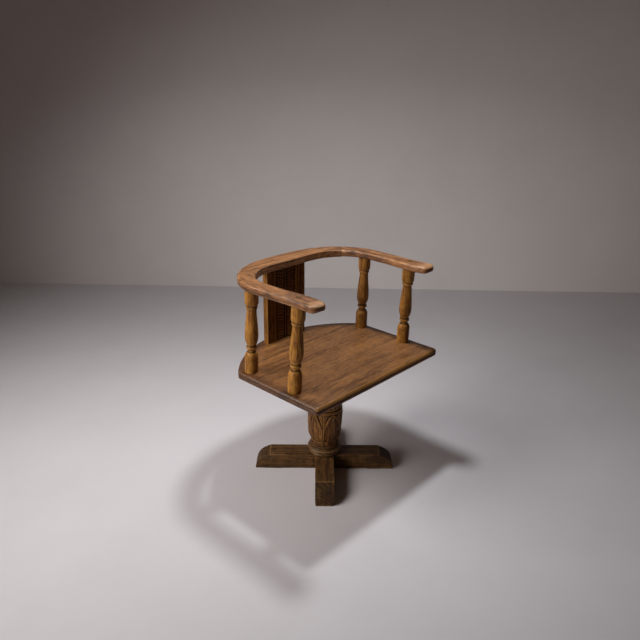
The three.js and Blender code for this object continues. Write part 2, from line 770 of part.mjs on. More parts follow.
// The edge from the underside up: a bead, a quirk and a thumb moulding
function seatEdge() {
  const quirkBottom = -thumbHeight - quirkHeight;
  const beadHeight = seatThickness + quirkBottom;
  const beadSteps = 4;
  const thumbSteps = 4;
  const edge = [];
  for (let i = 0; i <= beadSteps; i += 1) {
    const angle = (i / beadSteps) * Math.PI;
    edge.push([
      beadSetback + beadRound * (1 - Math.sin(angle)),
      -seatThickness + (beadHeight * (1 - Math.cos(angle))) / 2,
    ]);
  }
  edge.push([quirkDepth + beadSetback + beadRound / 2, quirkBottom + quirkHeight / 2]);
  for (let i = 0; i <= thumbSteps; i += 1) {
    const angle = (i / thumbSteps) * (Math.PI / 2);
    edge.push([thumbWidth * (1 - Math.cos(angle)), -thumbHeight * (1 - Math.sin(angle))]);
  }
  return edge;
}

const seatBlank = loft(seatEdge().map(([inset, z]) => seatRing(inset, z)));
const battenScrewPlaces = battenScrewRows.flatMap((y) => [[battenSpread, y], [-battenSpread, y]]);
const battenScrewHoles = battenScrewPlaces.map(([x, y]) => (
  rod(screwRadius + clearance, battenBottom - seatHeight, battenBottom - seatHeight
    + battenScrewLength + clearance, screwSides).translate(x, y, 0)));
const boardEdges = [
  seatFront - overrun,
  ...Object.values(boardJointsFromFront).map((y) => seatFront + y),
  seatDepth / 2 + overrun,
];
const boardNames = ['front', 'middle_front', 'middle_rear', 'rear'];
boardNames.forEach((name, i) => {
  const slab = block(
    [-farReach, boardEdges[i] + clearance / 2, -seatThickness - overrun],
    [farReach, boardEdges[i + 1] - clearance / 2, overrun],
  );
  const board = cut(common(seatBlank, slab), [...seatSpindleHoles, ...battenScrewHoles, ...stileMortises]);
  piece(`seat_board_${name}`, board, seatOak, seatUnit);
});

// Arm rail: the outer edge in plan from the middle of the back to the end of the right arm, as
// shares of the rail's half width and of its reach behind or in front of the swivel axis, and the
// rail's width there as a share of the arm's width
const railHalfWidth = seatWidth / 2 - railSideSetIn;
const railFrontReach = seatDepth / 2 - railFrontSetBack;
const railStationShares = [
  [0, 1, 1.351], [0.223, 0.998, 1.333], [0.457, 0.949, 1.21], [0.65, 0.845, 1.088],
  [0.822, 0.678, 1.035], [0.937, 0.479, 1], [0.993, 0.246, 0.974], [0.995, 0, 0.947],
  [0.988, -0.25, 0.939], [0.981, -0.524, 1.009], [0.981, -0.752, 1.053],
];
const tipHalfShare = 0.988;
const railSteps = 2;
const jointStation = 4;

function railCurve() {
  const right = railStationShares.map(([x, y, width]) => new THREE.Vector3(
    x * railHalfWidth, y * (y > 0 ? railBackReach : railFrontReach), width * armWidth));
  right.push(new THREE.Vector3(tipHalfShare * railHalfWidth, tipRadius - railFrontReach, armWidth));
  const left = right.slice(1).reverse().map((p) => new THREE.Vector3(-p.x, p.y, p.z));
  return new THREE.CatmullRomCurve3([...left, ...right]);
}

const railLine = railCurve();
const lastStation = railStationShares.length;

// The rail's outer edge point, outward and forward directions and width at a station
function railStation(station) {
  const t = (station + lastStation) / (2 * lastStation);
  const point = railLine.getPoint(t);
  const tangent = railLine.getTangent(t);
  const along = new THREE.Vector3(tangent.x, tangent.y, 0).normalize();
  const outward = new THREE.Vector3(-along.y, along.x, 0);
  return { outer: new THREE.Vector3(point.x, point.y, 0), along, outward, width: point.z };
}

// One section of the rail, a rectangle with rounded corners from the bottom inner corner on
function railRing({ outer, outward, width }, radii, thickness = railThickness) {
  const limit = Math.min(width, thickness) / 2;
  const [low, high] = [railMiddle - thickness / 2, railMiddle + thickness / 2];
  const corners = [
    [-width, low, 1, 1, Math.PI], [0, low, -1, 1, 1.5 * Math.PI],
    [0, high, -1, -1, 0], [-width, high, 1, -1, Math.PI / 2],
  ];
  return corners.flatMap(([across, z, inX, inZ, start], k) => {
    const radius = Math.min(radii[k], limit - clearance);
    return Array.from({ length: cornerSteps }, (_, i) => {
      const angle = start + (i / (cornerSteps - 1)) * (Math.PI / 2);
      const u = across + inX * radius + radius * Math.cos(angle);
      const v = z + inZ * radius + radius * Math.sin(angle);
      return new THREE.Vector3(outer.x + u * outward.x, outer.y + u * outward.y, v);
    });
  });
}

function shifted(section, distance) {
  return { ...section, outer: section.outer.clone().addScaledVector(section.along, distance) };
}

const armRadii = [armEdgeRadius, armEdgeRadius, armEdgeRadius, armEdgeRadius];
const backRadii = [crispEdgeRadius, backEdgeRadius, backEdgeRadius, crispEdgeRadius];

function backRail() {
  const rings = [];
  for (let i = -jointStation * railSteps; i <= jointStation * railSteps; i += 1) {
    const atEnd = Math.abs(i) === jointStation * railSteps;
    const section = railStation(i / railSteps);
    const setBack = atEnd ? -Math.sign(i) * clearance / 2 : 0;
    rings.push(railRing(shifted(section, setBack), backRadii));
  }
  return loft(rings);
}

function rightArm() {
  const rings = [];
  for (let i = jointStation * railSteps; i <= lastStation * railSteps; i += 1) {
    const atJoint = i === jointStation * railSteps;
    rings.push(railRing(shifted(railStation(i / railSteps), atJoint ? clearance / 2 : 0), armRadii));
  }
  const tip = railStation(lastStation);
  const tipSteps = 4;
  for (let i = 1; i <= tipSteps; i += 1) {
    const angle = (i / tipSteps) * (Math.PI / 2);
    const narrowing = tipRadius * (1 - Math.cos(angle));
    const section = shifted(tip, tipRadius * Math.sin(angle));
    section.outer.addScaledVector(section.outward, -narrowing);
    section.width = tip.width - 2 * narrowing;
    const thinning = 2 * armEdgeRadius * (1 - Math.cos(angle));
    rings.push(railRing(section, armRadii, railThickness - thinning));
  }
  return loft(rings);
}

// Dowels across the joint between the back of the rail and the right arm
const dowelShares = [0.32, 0.68];

function jointDowels(radius, length) {
  const { outer, outward, along, width } = railStation(jointStation);
  return dowelShares.map((share) => {
    const middle = outer.clone().addScaledVector(outward, -share * width);
    return rod(radius, -length / 2, length / 2, spindleSides / 2)
      .rotateY(Math.PI / 2)
      .rotateZ(Math.atan2(along.y, along.x))
      .translate(middle.x, middle.y, railMiddle);
  });
}

const dowelHoles = jointDowels(railDowelRadius + clearance, railDowelLength + 2 * clearance);
const armHoles = Object.values(spindlePlaces).map((place) => (
  spindleHole(place, railBottom - overrun, armHeight + 2 * overrun)));
const armGeometry = cut(rightArm(), [...dowelHoles, ...armHoles]);
piece('rail_back', cut(backRail(), [...dowelHoles, ...dowelHoles.map(mirrored), ...stileMortises]),
  oak, seatUnit);
piece('rail_arm_right', armGeometry, oak, seatUnit);
piece('rail_arm_left', mirrored(armGeometry), oak, seatUnit);
jointDowels(railDowelRadius, railDowelLength).forEach((dowel, i) => {
  piece(`rail_dowel_right_${i + 1}`, dowel, oak, seatUnit);
  piece(`rail_dowel_left_${i + 1}`, mirrored(dowel), oak, seatUnit);
});

export default chair;
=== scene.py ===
# %% [markdown]
# # A swivel armchair in old carved oak
# The chair is a cross of two beams, a carved baluster on it, an iron swivel, a boarded seat, four
# turned spindles, a carved splat and a level arm rail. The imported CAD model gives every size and
# place, so the work here is surface: fair curves, soft worn edges, carving, grain and polish.

# %% Load the frame
import json
from math import atan2, copysign, cos, hypot, pi, radians, sin, sqrt, tau

import bmesh
import bpy
from mathutils import Matrix, Vector

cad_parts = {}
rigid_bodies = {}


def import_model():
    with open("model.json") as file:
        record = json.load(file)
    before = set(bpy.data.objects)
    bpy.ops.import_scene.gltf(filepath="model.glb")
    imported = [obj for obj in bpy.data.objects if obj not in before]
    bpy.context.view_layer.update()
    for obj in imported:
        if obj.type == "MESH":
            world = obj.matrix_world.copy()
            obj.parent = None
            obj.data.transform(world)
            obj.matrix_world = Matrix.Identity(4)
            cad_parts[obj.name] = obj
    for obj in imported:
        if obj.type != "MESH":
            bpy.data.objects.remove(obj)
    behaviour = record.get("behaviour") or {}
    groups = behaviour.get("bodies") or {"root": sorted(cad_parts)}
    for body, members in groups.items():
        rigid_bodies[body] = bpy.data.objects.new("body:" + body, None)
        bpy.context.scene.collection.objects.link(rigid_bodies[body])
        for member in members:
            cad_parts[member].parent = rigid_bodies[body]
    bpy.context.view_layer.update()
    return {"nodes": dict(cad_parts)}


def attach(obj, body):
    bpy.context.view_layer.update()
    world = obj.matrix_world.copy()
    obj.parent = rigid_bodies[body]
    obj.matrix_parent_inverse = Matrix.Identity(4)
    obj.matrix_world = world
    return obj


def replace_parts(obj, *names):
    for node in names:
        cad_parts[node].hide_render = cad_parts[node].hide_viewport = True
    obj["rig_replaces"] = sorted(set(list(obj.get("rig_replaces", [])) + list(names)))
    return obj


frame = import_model()
print("pieces in the CAD frame:", len(frame["nodes"]))

# %% [markdown]
# ## The camera
# The view was solved from the chair's own straight edges and circles, so it is written as plain
# numbers: height, distance, tilt and focal length. The seat stands turned to the camera, and the
# frame's axes follow the seat, so the whole camera is turned back by that angle.

# %% Camera
image_side, sensor_width = 640, 36
focal_length_in_pixels = 639.5
camera_distance, camera_height = 1.9826, 1.3333
tilt_down, roll, pan = radians(21.3), radians(0.68), radians(-0.63)
seat_turn = radians(47.5)
to_frame = Matrix.Rotation(-seat_turn, 4, "Z")

ahead = Vector((sin(pan) * cos(tilt_down), cos(pan) * cos(tilt_down),
                -sin(tilt_down)))
level_right = ahead.cross(Vector((0, 0, 1))).normalized()
level_up = level_right.cross(ahead)
camera_right = level_right * cos(roll) + level_up * sin(roll)
camera_up = level_up * cos(roll) - level_right * sin(roll)
camera_turn = Matrix((camera_right, camera_up, -ahead)).transposed().to_4x4()

scene = bpy.context.scene
camera = bpy.data.objects.new("camera", bpy.data.cameras.new("camera"))
scene.collection.objects.link(camera)
camera.data.sensor_width = sensor_width
camera.data.lens = sensor_width * focal_length_in_pixels / image_side
camera.matrix_world = to_frame @ Matrix.Translation((0, -camera_distance, camera_height)) @ camera_turn
scene.camera = camera
scene.view_settings.view_transform = "Standard"
print("camera at", [round(value, 3) for value in camera.matrix_world.translation])


# %% [markdown]
# ## Writing materials as sums
# A material is a net of nodes, which is slow to read as a list of links. One small class wraps a
# socket, so that `1 - wear * 0.5` adds the Math nodes by itself. Every other node comes from one
# method that takes its type, its settings and what goes into its sockets.

# %% Shader language
class Wire:
    """A value that runs from one node to another."""

    def __init__(self, finish, socket):
        self.finish, self.socket = finish, socket

    def maths(self, operation, *values, clamp=False):
        return self.finish.node("ShaderNodeMath", {"operation": operation, "use_clamp": clamp}, values)

    def __add__(self, other):
        return self.maths("ADD", self, other)

    def __radd__(self, other):
        return self.maths("ADD", other, self)

    def __sub__(self, other):
        return self.maths("SUBTRACT", self, other)

    def __rsub__(self, other):
        return self.maths("SUBTRACT", other, self)

    def __mul__(self, other):
        return self.maths("MULTIPLY", self, other)

    def __rmul__(self, other):
        return self.maths("MULTIPLY", other, self)

    def clamped(self):
        return self.maths("ADD", self, 0, clamp=True)

    def rise(self, low, high):
        """Runs from 0 to 1 as the value goes from low to high."""
        return self.finish.node("ShaderNodeMapRange", {"interpolation_type": "SMOOTHSTEP"},
                                {"Value": self, "From Min": low, "From Max": high}, "Result")


class Finish:
    """A material that is being written."""

    def __init__(self, name):
        self.material = bpy.data.materials.new(name)
        self.material.use_nodes = True
        self.tree = self.material.node_tree
        self.tree.nodes.clear()

    def node(self, kind, settings=None, values=(), output=0):
        node = self.tree.nodes.new(kind)
        for name, setting in (settings or {}).items():
            if name == "stops":
                while len(node.color_ramp.elements) < len(setting):
                    node.color_ramp.elements.new(0.5)
                for element, (place, colour) in zip(node.color_ramp.elements, setting):
                    element.position, element.color = place, colour
            else:
                setattr(node, name, setting)
        for key, value in values.items() if isinstance(values, dict) else enumerate(values):
            if isinstance(value, Wire):
                self.tree.links.new(value.socket, node.inputs[key])
            else:
                node.inputs[key].default_value = value
        return Wire(self, node.outputs[output]) if node.outputs else None

    def vectors(self, operation, *values, output=0):
        return self.node("ShaderNodeVectorMath", {"operation": operation}, values, output)

    def stretched(self, vector, factors):
        return self.vectors("MULTIPLY", vector, factors)

    def noise(self, vector, scale, detail, roughness=0.5):
        return self.node("ShaderNodeTexNoise", values={
            "Vector": vector, "Scale": scale, "Detail": detail, "Roughness": roughness})

    def blend(self, share, first, second, kind="MIX"):
        return self.node("ShaderNodeMix", {"data_type": "RGBA", "blend_type": kind},
                         {0: share, 6: first, 7: second}, 2)

    def surface(self, values, bump, bump_distance):
        normal = self.node("ShaderNodeBump", values={"Height": bump, "Distance": bump_distance})
        shader = self.node("ShaderNodeBsdfPrincipled", values={**values, "Normal": normal})
        self.node("ShaderNodeOutputMaterial", values={"Surface": shader})
        return self.material


def colour(code):
    """A linear colour from the usual six-figure code."""
    parts = [int(code[i:i + 2], 16) / 255 for i in (1, 3, 5)]
    return (*[p / 12.92 if p <= 0.04045 else ((p + 0.055) / 1.055) ** 2.4 for p in parts], 1)


print("a middle grey is", [round(part, 3) for part in colour("#808080")])


# %% [markdown]
# ## The studio
# A pale floor and a plain wall two metres behind the chair, a small lamp almost straight above the
# seat and two wide soft panels. The lamp draws the ring-shaped shadow on the floor. The panel on
# the left lights the left of each spindle, and the one in front only lifts the shadows. The lamp
# is a little cooler than the panels, so that shadows look warm.

# %% Floor, wall and lamps
def plain(name, code, roughness):
    finish = Finish(name)
    place = finish.node("ShaderNodeTexCoord", output="Object")
    cloud = finish.noise(place, 3, 4, 0.6)
    shade = finish.blend(cloud * 0.12, colour(code), (0, 0, 0, 1))
    return finish.surface({"Base Color": shade, "Roughness": roughness},
                          finish.noise(place, 40, 3), 0.0004)


def backdrop(name, corners, material):
    bm = bmesh.new()
    bm.faces.new([bm.verts.new(to_frame @ Vector(corner)) for corner in corners])
    mesh = bpy.data.meshes.new(name)
    bm.to_mesh(mesh)
    bm.free()
    mesh.materials.append(material)
    sheet = bpy.data.objects.new(name, mesh)
    scene.collection.objects.link(sheet)


room_half, wall_distance, wall_height = 9, 2.02, 6
backdrop("floor", [(x * room_half, y * room_half, 0) for x, y in [(-1, -1), (1, -1), (1, 1), (-1, 1)]],
         plain("pale_floor", "#cecacf", 0.7))
backdrop("wall", [(x * room_half, wall_distance, up * wall_height)
                  for x, up in [(-1, 0), (1, 0), (1, 1), (-1, 1)]],
         plain("plain_wall", "#ddd7d6", 0.9))


def lamp(name, place, target, side, power, spread, tint):
    light = bpy.data.objects.new(name, bpy.data.lights.new(name, "AREA"))
    scene.collection.objects.link(light)
    light.data.shape, light.data.size = "DISK", side
    light.data.energy, light.data.spread, light.data.color = power, radians(spread), tint
    spot = to_frame @ Vector(place)
    toward = to_frame @ Vector(target) - spot
    light.matrix_world = Matrix.Translation(spot) @ toward.to_track_quat("-Z", "Y").to_matrix().to_4x4()


cool, warm = (0.96, 0.985, 1.0), (1.0, 0.965, 0.92)
lamp("lamp_above", (0.04, 0.1, 1.84), (0.04, 0.1, 0), 0.14, 10.5, 150, cool)
lamp("panel_left", (-1.9, -0.5, 1.85), (0, 0.25, 0), 1.3, 17.4, 112, warm)
lamp("panel_in_front", (-2.2, -2.0, 1.3), (0, 0, 0.25), 1.2, 4.8, 62, warm)

world = bpy.data.worlds.new("room")
world.use_nodes = True
dim_warm_grey = (0.038, 0.024, 0.014, 1)
world.node_tree.nodes["Background"].inputs["Color"].default_value = dim_warm_grey
scene.world = world
print("lamps:", [light.name for light in bpy.data.lights])


# %% [markdown]
# ## Old oak
# Oak shows long dark pores, paler and darker streaks, and growth rings. All of them run along the
# grain, so the same coordinates are squeezed along it before each noise. Each saw cut has its own
# grain direction. Age adds the rest: polish and paler wood on what stands proud, and darkening in
# what lies deep, which is partly dirt and partly painted shade. Where a surface stands proud is
# measured on the mesh and stored as an attribute.

# %% Oak recipe
ALONG_X = (0, 0, 0)
ALONG_Y = (0, 0, -pi / 2)
ALONG_Z = (0, pi / 2, 0)
base_turn = radians(-46.5)


def seat_rim(finish, place):
    """Runs from 0 to 1 over the seat's last few centimetres, where the seat is darkened."""
    per_half_width, per_back_radius, to_back_centre = 3.3, 2.61, (0, 0.1356, 0)
    beside = finish.vectors("ABSOLUTE", finish.stretched(place, (per_half_width, 0, 0)))
    side = finish.node("ShaderNodeSeparateXYZ", values=[beside])
    from_arc = finish.vectors("ADD", place, to_back_centre)
    flat = finish.stretched(from_arc, (per_back_radius, per_back_radius, 0))
    arc = finish.vectors("LENGTH", flat, output=1)
    return side.maths("MAXIMUM", side, arc).rise(0.84, 1.0)


def oak(name, grain, codes, roughness, worn_code, coat, wear=1.0, grime_and_shade=1.0, depth=1.0, shine=0.5,
        upright=1.0, rim=None):
    """Oak with its grain turned by the given angles; codes run from the darkest wood to the palest.

    An upright below 1 draws the figure out in height too, as in a beam sawn with its rings on edge."""
    finish = Finish(name)
    place = finish.node("ShaderNodeTexCoord", output="Object")
    tone = finish.node("ShaderNodeAttribute", {"attribute_name": "tone"}, output="Fac")
    proud = finish.node("ShaderNodeAttribute", {"attribute_name": "proud"}, output="Fac")
    shift = finish.node("ShaderNodeCombineXYZ", values=[tone * 0.83, tone * 0.41, tone * 0.67])
    board = finish.vectors("ADD", place, shift)
    along = finish.node("ShaderNodeMapping", values={"Vector": board, "Rotation": grain})

    def grained(squeeze, scale, detail, roughness=0.5):
        return finish.noise(finish.stretched(along, (squeeze, 1, upright)), scale, detail, roughness)

    fibre = grained(0.03, 620, 3, 0.6)
    streak = grained(0.07, 75, 4, 0.55)
    fleck = grained(0.25, 170, 3, 0.6)
    broad = grained(0.16, 17, 3)
    pore = grained(0.05, 1500, 1).rise(0.6, 0.7)
    growth = {"wave_type": "RINGS", "rings_direction": "X", "wave_profile": "SAW"}
    ring = finish.node("ShaderNodeTexWave", growth, {
        "Vector": finish.stretched(along, (0.12, 1, 1)), "Scale": 34, "Distortion": 4,
        "Detail": 2, "Detail Scale": 1.2})
    patch = finish.noise(place, 8, 4, 0.6)
    spot = finish.noise(place, 34, 3, 0.6)
    speck = finish.noise(place, 210, 2).rise(0.66, 0.74)

    figure = (streak * 0.45 + broad * 0.3 + fibre * 0.4 + fleck * 0.45 + spot * 0.15 + ring * 0.1
              - 0.425).clamped()
    stops = [(stop, colour(code)) for stop, code in zip((0.39, 0.5, 0.61), codes)]
    wood = finish.node("ShaderNodeValToRGB", {"stops": stops}, [figure])
    stain = (patch.rise(0.42, 0.72) * 0.42 + spot.rise(0.48, 0.7) * 0.32).clamped()
    for share, code in [(stain, codes[0]), (pore * 0.45 * depth, "#1c120a"), (speck * 0.35, "#1c120a")]:
        wood = finish.blend(share, wood, colour(code))
    if rim:
        # The seat is darkened towards its rim.
        rim_darkening = rim(finish, place) * (0.4 + spot * 0.5)
        wood = finish.blend(rim_darkening, wood, colour("#6b4a2a"), "MULTIPLY")
    polished = (proud * 2.2 * wear + spot * 0.7 + patch * 0.5 - 0.72).rise(0, 0.6)
    worn = (polished * (0.3 + fibre * 0.7)).clamped()
    # Concave places are darkened: partly the dirt that gathers there, partly painted shade in hollows
    # and carving.
    hollow_grime_and_shade = ((0 - proud) * 5 * grime_and_shade + spot * 0.25 - 0.12).rise(0, 0.7)
    for share, code in [(worn * 0.75, worn_code), (hollow_grime_and_shade * 0.85, "#171009")]:
        wood = finish.blend(share, wood, colour(code))

    gloss = (roughness + (fibre - 0.5) * 0.16 + stain * 0.12 + hollow_grime_and_shade * 0.25 + (spot - 0.5) * 0.12
             - worn * 0.1).clamped()
    height = fibre * 0.5 - pore * 0.7 * depth + streak * 0.5 + spot * 0.5 - speck * 0.4
    return finish.surface({"Base Color": wood, "Roughness": gloss, "Specular IOR Level": shine,
                           "Coat Weight": coat, "Coat Roughness": 0.28}, height, 0.0006 * depth)


golden = ("#6b4319", "#9d6828", "#b7823a")
side_brown = ("#4a2f13", "#7e5220", "#966630")
ruddy = ("#4c2e18", "#86562f", "#a57447")
brown = ("#553418", "#7c5029", "#8d6034")
dull = ("#38230f", "#60411f", "#735330")
carved = ("#3c220c", "#74481e", "#946533")
seat_wood = oak("seat_oak_across", ALONG_X, brown, 0.44, "#b07c40", wear=0.8, coat=0.12, shine=0.35,
                rim=seat_rim)
rail_back_wood = oak("rail_oak_across", ALONG_X, ruddy, 0.43, "#bd8a5e", coat=0.2, shine=0.4)
rail_arm_wood = oak("rail_oak_fore_and_aft", ALONG_Y, ruddy, 0.46, "#c4946c", coat=0.12, shine=0.4)
upright_wood = oak("spindle_oak_upright", ALONG_Z, golden, 0.48, "#c48f45", coat=0.05, shine=0.22)
# The carving's hollows are darkened most strongly: partly dirt, partly painted shade in the carving.
panel_wood = oak("splat_oak_carved", ALONG_Z, carved, 0.5, "#9c6c38", wear=1.4, grime_and_shade=2.2, coat=0.05,
                 shine=0.2)
stile_wood = oak("stile_oak_upright", ALONG_Z, side_brown, 0.6, "#a97a3c", coat=0.0, shine=0.1)
batten_wood = oak("batten_oak_fore_and_aft", ALONG_Y, dull, 0.65, "#8a6a44", coat=0.0, shine=0.25)
lower_beam_wood, upper_beam_wood = [
    oak(name, (0, 0, -turned), dull, 0.58, "#8d6f4a", wear=0.9, coat=0.03, depth=1.4, shine=0.2,
        upright=0.25)
    for name, turned in [("beam_oak_lower", base_turn), ("beam_oak_upper", base_turn + pi / 2)]]
ring_wood = oak("foot_ring_oak_upright", ALONG_Z, dull, 0.5, "#80603a", grime_and_shade=2.6, coat=0.1, shine=0.3)
baluster_wood = oak("baluster_oak_upright", ALONG_Z, carved, 0.52, "#a5753a", wear=1.2, grime_and_shade=1.2,
                    coat=0.08, shine=0.2)
print("materials so far:", len(bpy.data.materials))


# %% [markdown]
# ## Helpers for the pieces
# A piece ends the same way each time: its doubles are merged, its normals turned outwards, and the
# curvature at each point stored, positive where it stands proud. Curvature is measured against
# the length of the edges, so a fine mesh and a coarse one give the same wear. Smaller helpers
# saw through a mesh, close its holes and pick out the points that an extrusion has added.

# %% Piece helpers
fully_proud_radius = 0.002


def layer(bm, name):
    return bm.verts.layers.float.get(name) or bm.verts.layers.float.new(name)


def rub_or_darken(bm, chosen, amount):
    """Marks the chosen points as more worn than their shape says, or, below zero, as darker: grime,
    dark joints and end grain, and in places painted shade.
    """
    marked = layer(bm, "rub_or_darken")
    for vert in bm.verts:
        if chosen(vert.co):
            vert[marked] = amount


def mark_proud(bm, tone):
    marked, proud, own_tone = [layer(bm, name) for name in ("rub_or_darken", "proud", "tone")]
    bm.normal_update()
    for vert in bm.verts:
        steps = [vert.co - edge.other_vert(vert).co for edge in vert.link_edges]
        bends = [2 * vert.normal.dot(step) / max(step.length_squared, 1e-8) for step in steps]
        curvature = sum(bends) / max(len(bends), 1)
        vert[proud] = vert[marked] or max(-1.0, min(1.0, curvature * fully_proud_radius))
        vert[own_tone] = tone


def make(name, bm, material, body, stands_for, tone, sharp=35):
    """Turns a finished bmesh into a named piece that rides on a body."""
    bmesh.ops.remove_doubles(bm, verts=bm.verts, dist=1e-5)
    bmesh.ops.recalc_face_normals(bm, faces=bm.faces)
    mark_proud(bm, tone)
    mesh = bpy.data.meshes.new(name)
    bm.to_mesh(mesh)
    bm.free()
    mesh.shade_smooth()
    mesh.set_sharp_from_angle(angle=radians(sharp))
    mesh.materials.append(material)
    piece = bpy.data.objects.new(name, mesh)
    scene.collection.objects.link(piece)
    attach(piece, body)
    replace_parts(piece, *stands_for)
    print(name, len(mesh.polygons), "faces")


def fair_curve(points, steps):
    """Points along a smooth curve that passes through the given ones."""
    knots = [Vector(point) for point in points]
    knots = [2 * knots[0] - knots[1], *knots, 2 * knots[-1] - knots[-2]]
    curve = []
    for before, start, stop, after in zip(knots, knots[1:], knots[2:], knots[3:]):
        t0, t1, t2 = [max((b - a).length, 1e-9) ** 0.5
                      for a, b in ((before, start), (start, stop), (stop, after))]
        leave = ((start - before) / t0 - (stop - before) / (t0 + t1) + (stop - start) / t1) * t1
        arrive = ((stop - start) / t1 - (after - start) / (t1 + t2) + (after - stop) / t2) * t1
        for u in [i / steps for i in range(steps)]:
            curve.append(start * (2 * u ** 3 - 3 * u ** 2 + 1) + leave * (u ** 3 - 2 * u ** 2 + u)
                         + stop * (3 * u ** 2 - 2 * u ** 3) + arrive * (u ** 3 - u ** 2))
    return curve + [knots[-2]]


def soften(bm, edges, offset, segments=3):
    bmesh.ops.bevel(bm, geom=edges, offset=offset, segments=segments, profile=0.5, affect="EDGES",
                    material=-1, clamp_overlap=True)


def guard_flats(bm, margin, least_area):
    """Sets a row of points inside each large flat face, so that wear stays near its edges."""
    flats = [face for face in bm.faces if face.calc_area() > least_area]
    bmesh.ops.inset_individual(bm, faces=flats, thickness=margin, use_even_offset=True)


def saw(bm, place, square, **cleared):
    """Cuts a plane through the whole mesh."""
    bmesh.ops.bisect_plane(bm, geom=[*bm.verts, *bm.edges, *bm.faces], dist=1e-6, plane_co=place,
                           plane_no=square, **cleared)


def close(bm):
    bmesh.ops.holes_fill(bm, edges=[edge for edge in bm.edges if edge.is_boundary], sides=0)


def new_points(grown):
    return [part for part in grown["geom"] if isinstance(part, bmesh.types.BMVert)]


def drawn_out(outline, along):
    """A prism: a flat outline drawn out along a vector."""
    bm = bmesh.new()
    face = bm.faces.new([bm.verts.new(point) for point in outline])
    grown = bmesh.ops.extrude_face_region(bm, geom=[face])
    bmesh.ops.translate(bm, vec=along, verts=new_points(grown))
    bmesh.ops.recalc_face_normals(bm, faces=bm.faces)
    return bm


def span(edge):
    """How far an edge runs along x, y and z."""
    return Vector([abs(step) for step in edge.verts[0].co - edge.verts[1].co])


print("a rounding of", fully_proud_radius, "m or tighter counts as fully proud")


# %% [markdown]
# ## The cross base
# Two sawn beams lapped half into each other. Each is drawn as a side outline with its sloping
# noses, its notch and the gap between its feet, and drawn out to the beam's width. Its long
# edges are then rounded, more than when it was new.

# %% Beams
beam_half_length, beam_width, beam_height = 0.2474, 0.0657, 0.0591
nose_length, foot_length, foot_drop = 0.054, 0.095, 0.0045
nose_shares = [(0, 0), (0.03, 0.13), (0.09, 0.33), (0.2, 0.54), (0.34, 0.68), (0.5, 0.79),
               (0.7, 0.885), (1, 1)]
lap_clearance, arris_round, brow_round = 0.0003, 0.0028, 0.0012


def beam_side():
    nose = fair_curve([(beam_half_length - back * nose_length, 0, height * beam_height)
                       for back, height in nose_shares], 3)
    pad = beam_half_length - foot_length
    right = [Vector((pad - foot_drop, 0, foot_drop)), Vector((pad, 0, 0)), *nose]
    return right, [Vector((-point.x, 0, point.z)) for point in reversed(right)]


def round_corners(bm):
    """Rounds the corners at the foot of each nose, as years of knocks have done."""
    knock = 0.008
    for side in (-1, 1):
        for depth in (knock, 0.005):
            saw(bm, (0, side * (beam_width / 2 - depth), 0), (0, 1, 0))
    for vert in bm.verts:
        past_x = abs(vert.co.x) - (beam_half_length - knock)
        past_y = abs(vert.co.y) - (beam_width / 2 - knock)
        past = hypot(past_x, past_y)
        if past_x > 0 and past_y > 0 and past > knock:
            vert.co.x -= copysign(past_x * (1 - knock / past), vert.co.x)
            vert.co.y -= copysign(past_y * (1 - knock / past), vert.co.y)


def split_end(bm):
    """Opens a short crack in the end grain of one nose."""
    half_width, reach, top, depth = 0.0012, 0.011, 0.014, 0.003
    for aside in (-half_width, 0, half_width):
        saw(bm, (0, aside, 0), (0, 1, 0))
    for vert in bm.verts:
        if abs(vert.co.y) < half_width / 2 and vert.co.x < reach - beam_half_length and vert.co.z < top:
            vert.co.x += depth


def beam(notch_from_above):
    right, left = beam_side()
    reach, level = beam_width / 2 + lap_clearance, beam_height / 2
    edge, sign = (beam_height, 1) if notch_from_above else (foot_drop, -1)
    notch = [Vector((end * sign * reach, 0, height))
             for end, height in [(1, edge), (1, level), (-1, level), (-1, edge)]]
    outline = right + notch + left if notch_from_above else right + left + notch
    near_side = Vector((0, -beam_width / 2, 0))
    bm = drawn_out([point + near_side for point in outline], (0, beam_width, 0))
    soften(bm, [e for e in bm.edges if span(e).y < 1e-6
                and not all(abs(v.co.x) < reach + 1e-5 for v in e.verts)], arris_round)
    brow = beam_half_length - nose_length
    soften(bm, [e for e in bm.edges if span(e).y > 0.02
                and all(abs(abs(v.co.x) - brow) < 1e-5 for v in e.verts)], brow_round, 2)
    round_corners(bm)
    if not notch_from_above:
        split_end(bm)
    rub_or_darken(bm, lambda place: abs(place.y) > beam_width / 2 - 0.0035, 0.05)
    rub_or_darken(bm, lambda place: abs(place.x) > brow + brow_round and 0.004 < place.z, -0.07)
    rub_or_darken(bm, lambda place: (place.z > beam_height - 0.0008
                           and abs(abs(place.x) - brow) < brow_round), 0.35)
    guard_flats(bm, 0.004, 0.0012)
    return bm


for name, notch_from_above, angle, wood, tone in [
        ("lower", True, base_turn, lower_beam_wood, 0.2),
        ("upper", False, base_turn + pi / 2, upper_beam_wood, 0.7)]:
    timber = beam(notch_from_above)
    bmesh.ops.rotate(timber, matrix=Matrix.Rotation(angle, 3, "Z"), verts=timber.verts)
    make(f"beam_{name}_oak", timber, wood, "base", [f"base_beam_{name}"], tone, 30)


# %% [markdown]
# ## Turned work
# A lathe makes every round part, and Spin is the lathe: an outline of radii and heights goes once
# round the axis. The outline is given in runs, and each goes on from the end of the one before.
# A run of one point is straight, a longer one is a fair curve, and where two runs meet there is a
# crisp arris, as the point of the chisel leaves it.

